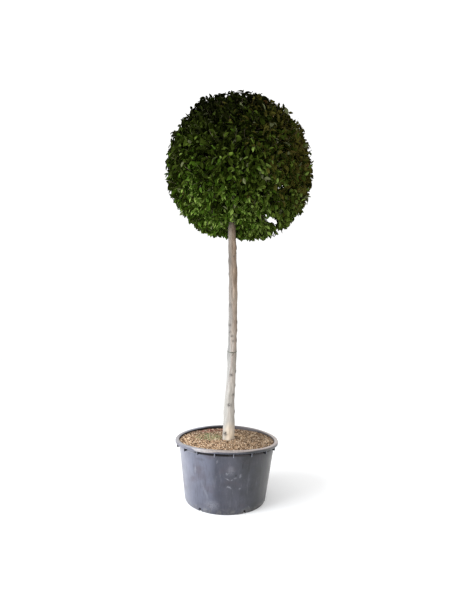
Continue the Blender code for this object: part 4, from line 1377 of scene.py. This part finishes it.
def leaf_form(fold, droop):
    """One leaf's points and faces: 1 long, folded along its midrib and drooping towards its tip."""
    points = [(0.0, 0.0, 0.0)]
    for along, half in LEAF_STATIONS:
        width = half * LEAF_WIDTH_SHARE
        sink = -droop * along * along
        edge = sink + fold * width
        points += [(along, -width, edge), (along, 0.0, sink), (along, width, edge)]
    points.append((1.0, 0.0, -droop))
    faces = [(0, 1, 2), (0, 2, 3)]
    for station in range(len(LEAF_STATIONS) - 1):
        first = 1 + station * 3
        faces += [(first, first + 3, first + 4, first + 1), (first + 1, first + 4, first + 5, first + 2)]
    last = 1 + (len(LEAF_STATIONS) - 1) * 3
    faces += [(last, last + 3, last + 1), (last + 1, last + 3, last + 2)]
    return np.array(points), faces


def leaf_mesh(name, leaves):
    """Leaves as one mesh, from where each is rooted, how it is turned, how long it is and its form."""
    points, faces, count = [], [], 0
    roots, turns, lengths, forms = map(np.array, zip(*leaves))
    for number, bends in enumerate(LEAF_BENDS):
        chosen = np.flatnonzero(forms == number)
        form, form_faces = leaf_form(*bends)
        placed = np.einsum("pk,nkc->npc", form, turns[chosen]) * lengths[chosen, None, None]
        placed += roots[chosen, None, :]
        points.append(placed.reshape(-1, 3))
        for copy in range(len(chosen)):
            first = count + copy * len(form)
            faces += [tuple(first + corner for corner in face) for face in form_faces]
        count += len(chosen) * len(form)
    mesh = bpy.data.meshes.new(name)
    mesh.from_pydata(np.concatenate(points).tolist(), [], faces)
    mesh.shade_smooth()
    return mesh


def tone_shift(heading):
    return sum(shift * math.exp(fall * (1.0 - heading.dot(middle))) for middle, shift, fall in SPOTS)


def leaf_tone(heading, share, chance):
    """Which colour a leaf takes from where it grows and how far along its shoot it is; its lightness is
    painted light and shade.
    """
    lot = chance.random()
    if lot < STRAW_CHANCE:
        return "straw"
    if lot < STRAW_CHANCE + SHEEN_CHANCE:
        return "sheen"
    olive, bronze, rust = WARM_LIMITS
    near, far = FAR_LIMITS
    away = min(1.0, max(0.0, (heading.dot(FAR_SIDE) - near) / (far - near)))
    warm = heading.dot(WARM_SIDE) - FAR_GREEN * away + chance.gauss(0.0, SIDE_STRAY)
    if warm > olive:
        # Painted shade deep down the shoot.
        if share < DEEP_SHADE:
            return "deep"
        return "rust" if warm > rust else "bronze" if warm > bronze else "olive"
    spread = TONE_SPREAD * (1.0 - TOP_CALM * max(0.0, heading.z))
    # Painted light and shade: lighter on the side the light comes from and at a shoot's tip, darker deep
    # inside.
    fresh = heading.dot(BRIGHT_SIDE) * (1.0 - FAR_EVEN * away) + FAR_LIT_GREEN * away
    fresh += SIDE_LIFT * heading.x * heading.x * (1.0 - away) + chance.gauss(0.0, spread)
    fresh += TIP_LIFT - DEEP_FALL * (1.0 - share) + tone_shift(heading)
    for limit, tone in TONE_LIMITS:
        if fresh > limit:
            cool = heading.dot(COOL_SIDE) + chance.gauss(0.0, SIDE_STRAY) > COOL_LIMIT
            return "cool_" + tone if cool and "cool_" + tone in LEAF_TONES else tone
    return "shade"


def add_spray(path, heading, batches, chance):
    """Leaves in two rows along a shoot, each turned up and outwards, and hanging a little."""
    ahead = (path[-1] - path[0]).normalized()
    rows = ahead.cross(strayed(heading, ROW_STRAY, chance)).normalized()
    up = Vector((0, 0, 1))
    for index in range(LEAVES_PER_SHOOT):
        share = 1.0 - (1.0 - LEAF_FIRST) * index * chance.uniform(0.9, 1.1) / LEAVES_PER_SHOOT
        step = min(int(share * (len(path) - 1)), len(path) - 2)
        place = between(path[step], path[step + 1], share * (len(path) - 1) - step)
        side = rows if index % 2 else -rows
        axis = ahead * LEAF_AHEAD + side * LEAF_ASIDE[min(index, 1)] - up * LEAF_HANG
        axis = (axis + strayed(Vector(), 1.0, chance) * LEAF_UNEVEN).normalized()
        facing = heading * LEAF_OUTWARD + up * LEAF_UPWARD + strayed(Vector(), 1.0, chance) * LEAF_STRAY
        facing = (facing - axis * facing.dot(axis)).normalized()
        length = chance.uniform(*LEAF_LENGTHS) * (1.0 if index else END_LEAF_SHARE)
        tip = place + axis * length
        if fits((between(place, tip, 0.5), tip)):
            tone = leaf_tone(heading, share, chance)
            half = "" if tone not in FULL_TONES else "_back" if heading.y > 0.0 else "_front"
            turns = (axis, facing.cross(axis), facing)
            batches[tone + half].append((place, turns, length, chance.randrange(len(LEAF_BENDS))))


def add_foliage(starts):
    chance = random.Random(SHOOT_SEED)
    twigs = Limbs()
    places = grow_twigs(twigs, starts, chance)
    finder = nearest_finder(places)
    batches = collections.defaultdict(list)
    for heading in spread_headings(SHOOT_COUNT):
        heading = strayed(heading, SHOOT_JITTER, chance)
        share = SHOOT_LONG_SHARE if chance.random() < SHOOT_LONG_CHANCE else chance.uniform(*SHOOT_SHARES)
        end = CROWN_CENTRE + heading * crown_outline(heading) * share
        if not fits((end,)):
            continue
        wanted = end - heading * chance.uniform(*SHOOT_LENGTHS)
        root = Vector(finder.find(wanted)[0])
        bend = between(root, end, SHOOT_BEND) - Vector((0, 0, SHOOT_SAG))
        path = curve_points((root, bend, end), SHOOT_STEPS)
        if any(in_sky_gap(point) for point in path):
            continue
        twigs.add(path, taper(SHOOT_RADIUS, SHOOT_RADIUS * TWIG_TAPER, SHOOT_STEPS), SHOOT_SIDES)
        add_spray(path, heading, batches, chance)
    add_piece("twigs", twigs.mesh("twigs"), twig_bark(), "crown")
    for tone, (colour, roughness) in LEAF_TONES.items():
        finish = leaf_finish("leaves_" + tone, colour, roughness)
        for half in ("_front", "_back") if tone in FULL_TONES else ("",):
            name = "leaves_" + tone + half
            add_piece(name, leaf_mesh(name, batches[tone + half]), finish, "crown")


# The studio

def add_floor():
    mesh = bpy.data.meshes.new("floor")
    corners = [(x * FLOOR_HALF, y * FLOOR_HALF, 0) for x, y in ((-1, -1), (1, -1), (1, 1), (-1, 1))]
    mesh.from_pydata(corners, [], [(0, 1, 2, 3)])
    pale = Finish("floor_pale", (0.92, 0.92, 0.92), 0.9, specular=0.1)
    floor = add_piece("floor", mesh, pale.material)


def add_light(name, place, towards, size, power):
    light = bpy.data.lights.new(name, "AREA")
    light.shape = "DISK"
    light.size = size
    light.energy = power
    light.color = (0.93, 0.96, 1.0)
    lamp = bpy.data.objects.new(name, light)
    lamp.location = place
    lamp.rotation_euler = (Vector(towards) - Vector(place)).to_track_quat("-Z", "Y").to_euler()
    bpy.context.scene.collection.objects.link(lamp)


def add_studio():
    world = bpy.data.worlds.new("studio")
    world.use_nodes = True
    backdrop = world.node_tree.nodes["Background"].inputs
    backdrop["Color"].default_value = (1.0, 1.0, 1.0, 1.0)
    backdrop["Strength"].default_value = 1.1
    bpy.context.scene.world = world
    bpy.context.scene.view_settings.view_transform = "Standard"
    add_light("window_left", (-4.2, -2.2, 2.6), (0.0, 0.0, 1.2), 4.4, 480.0)
    add_light("low_front", (0.4, -4.2, 0.5), (0.0, 0.0, 2.6), 2.0, 70.0)


def add_camera():
    """The camera at the photograph's place, tilted up and rolled a little."""
    ahead = Vector((0.0, math.cos(EYE_TILT), math.sin(EYE_TILT)))
    up = Vector((0.0, -math.sin(EYE_TILT), math.cos(EYE_TILT)))
    right = Vector((1.0, 0.0, 0.0))
    rolled_right = right * math.cos(EYE_ROLL) + up * math.sin(EYE_ROLL)
    rolled_up = up * math.cos(EYE_ROLL) - right * math.sin(EYE_ROLL)
    lens = bpy.data.cameras.new("camera")
    lens.sensor_fit = "VERTICAL"
    lens.sensor_height = SENSOR
    lens.lens = SENSOR * FOCAL_PIXELS / PHOTO_HEIGHT
    lens.shift_x = (PHOTO_WIDTH / 2 - OPTICAL_CENTRE[0]) / PHOTO_HEIGHT
    lens.shift_y = (OPTICAL_CENTRE[1] - PHOTO_HEIGHT / 2) / PHOTO_HEIGHT
    camera = bpy.data.objects.new("camera", lens)
    turned_to = Matrix((rolled_right, rolled_up, -ahead)).transposed()
    camera.matrix_world = Matrix.Translation(EYE) @ turned_to.to_4x4()
    bpy.context.scene.collection.objects.link(camera)
    bpy.context.scene.camera = camera


add_camera()
add_studio()
add_floor()
add_pot()
add_soil()
add_trunk()
add_tie()
add_foliage(add_boughs())
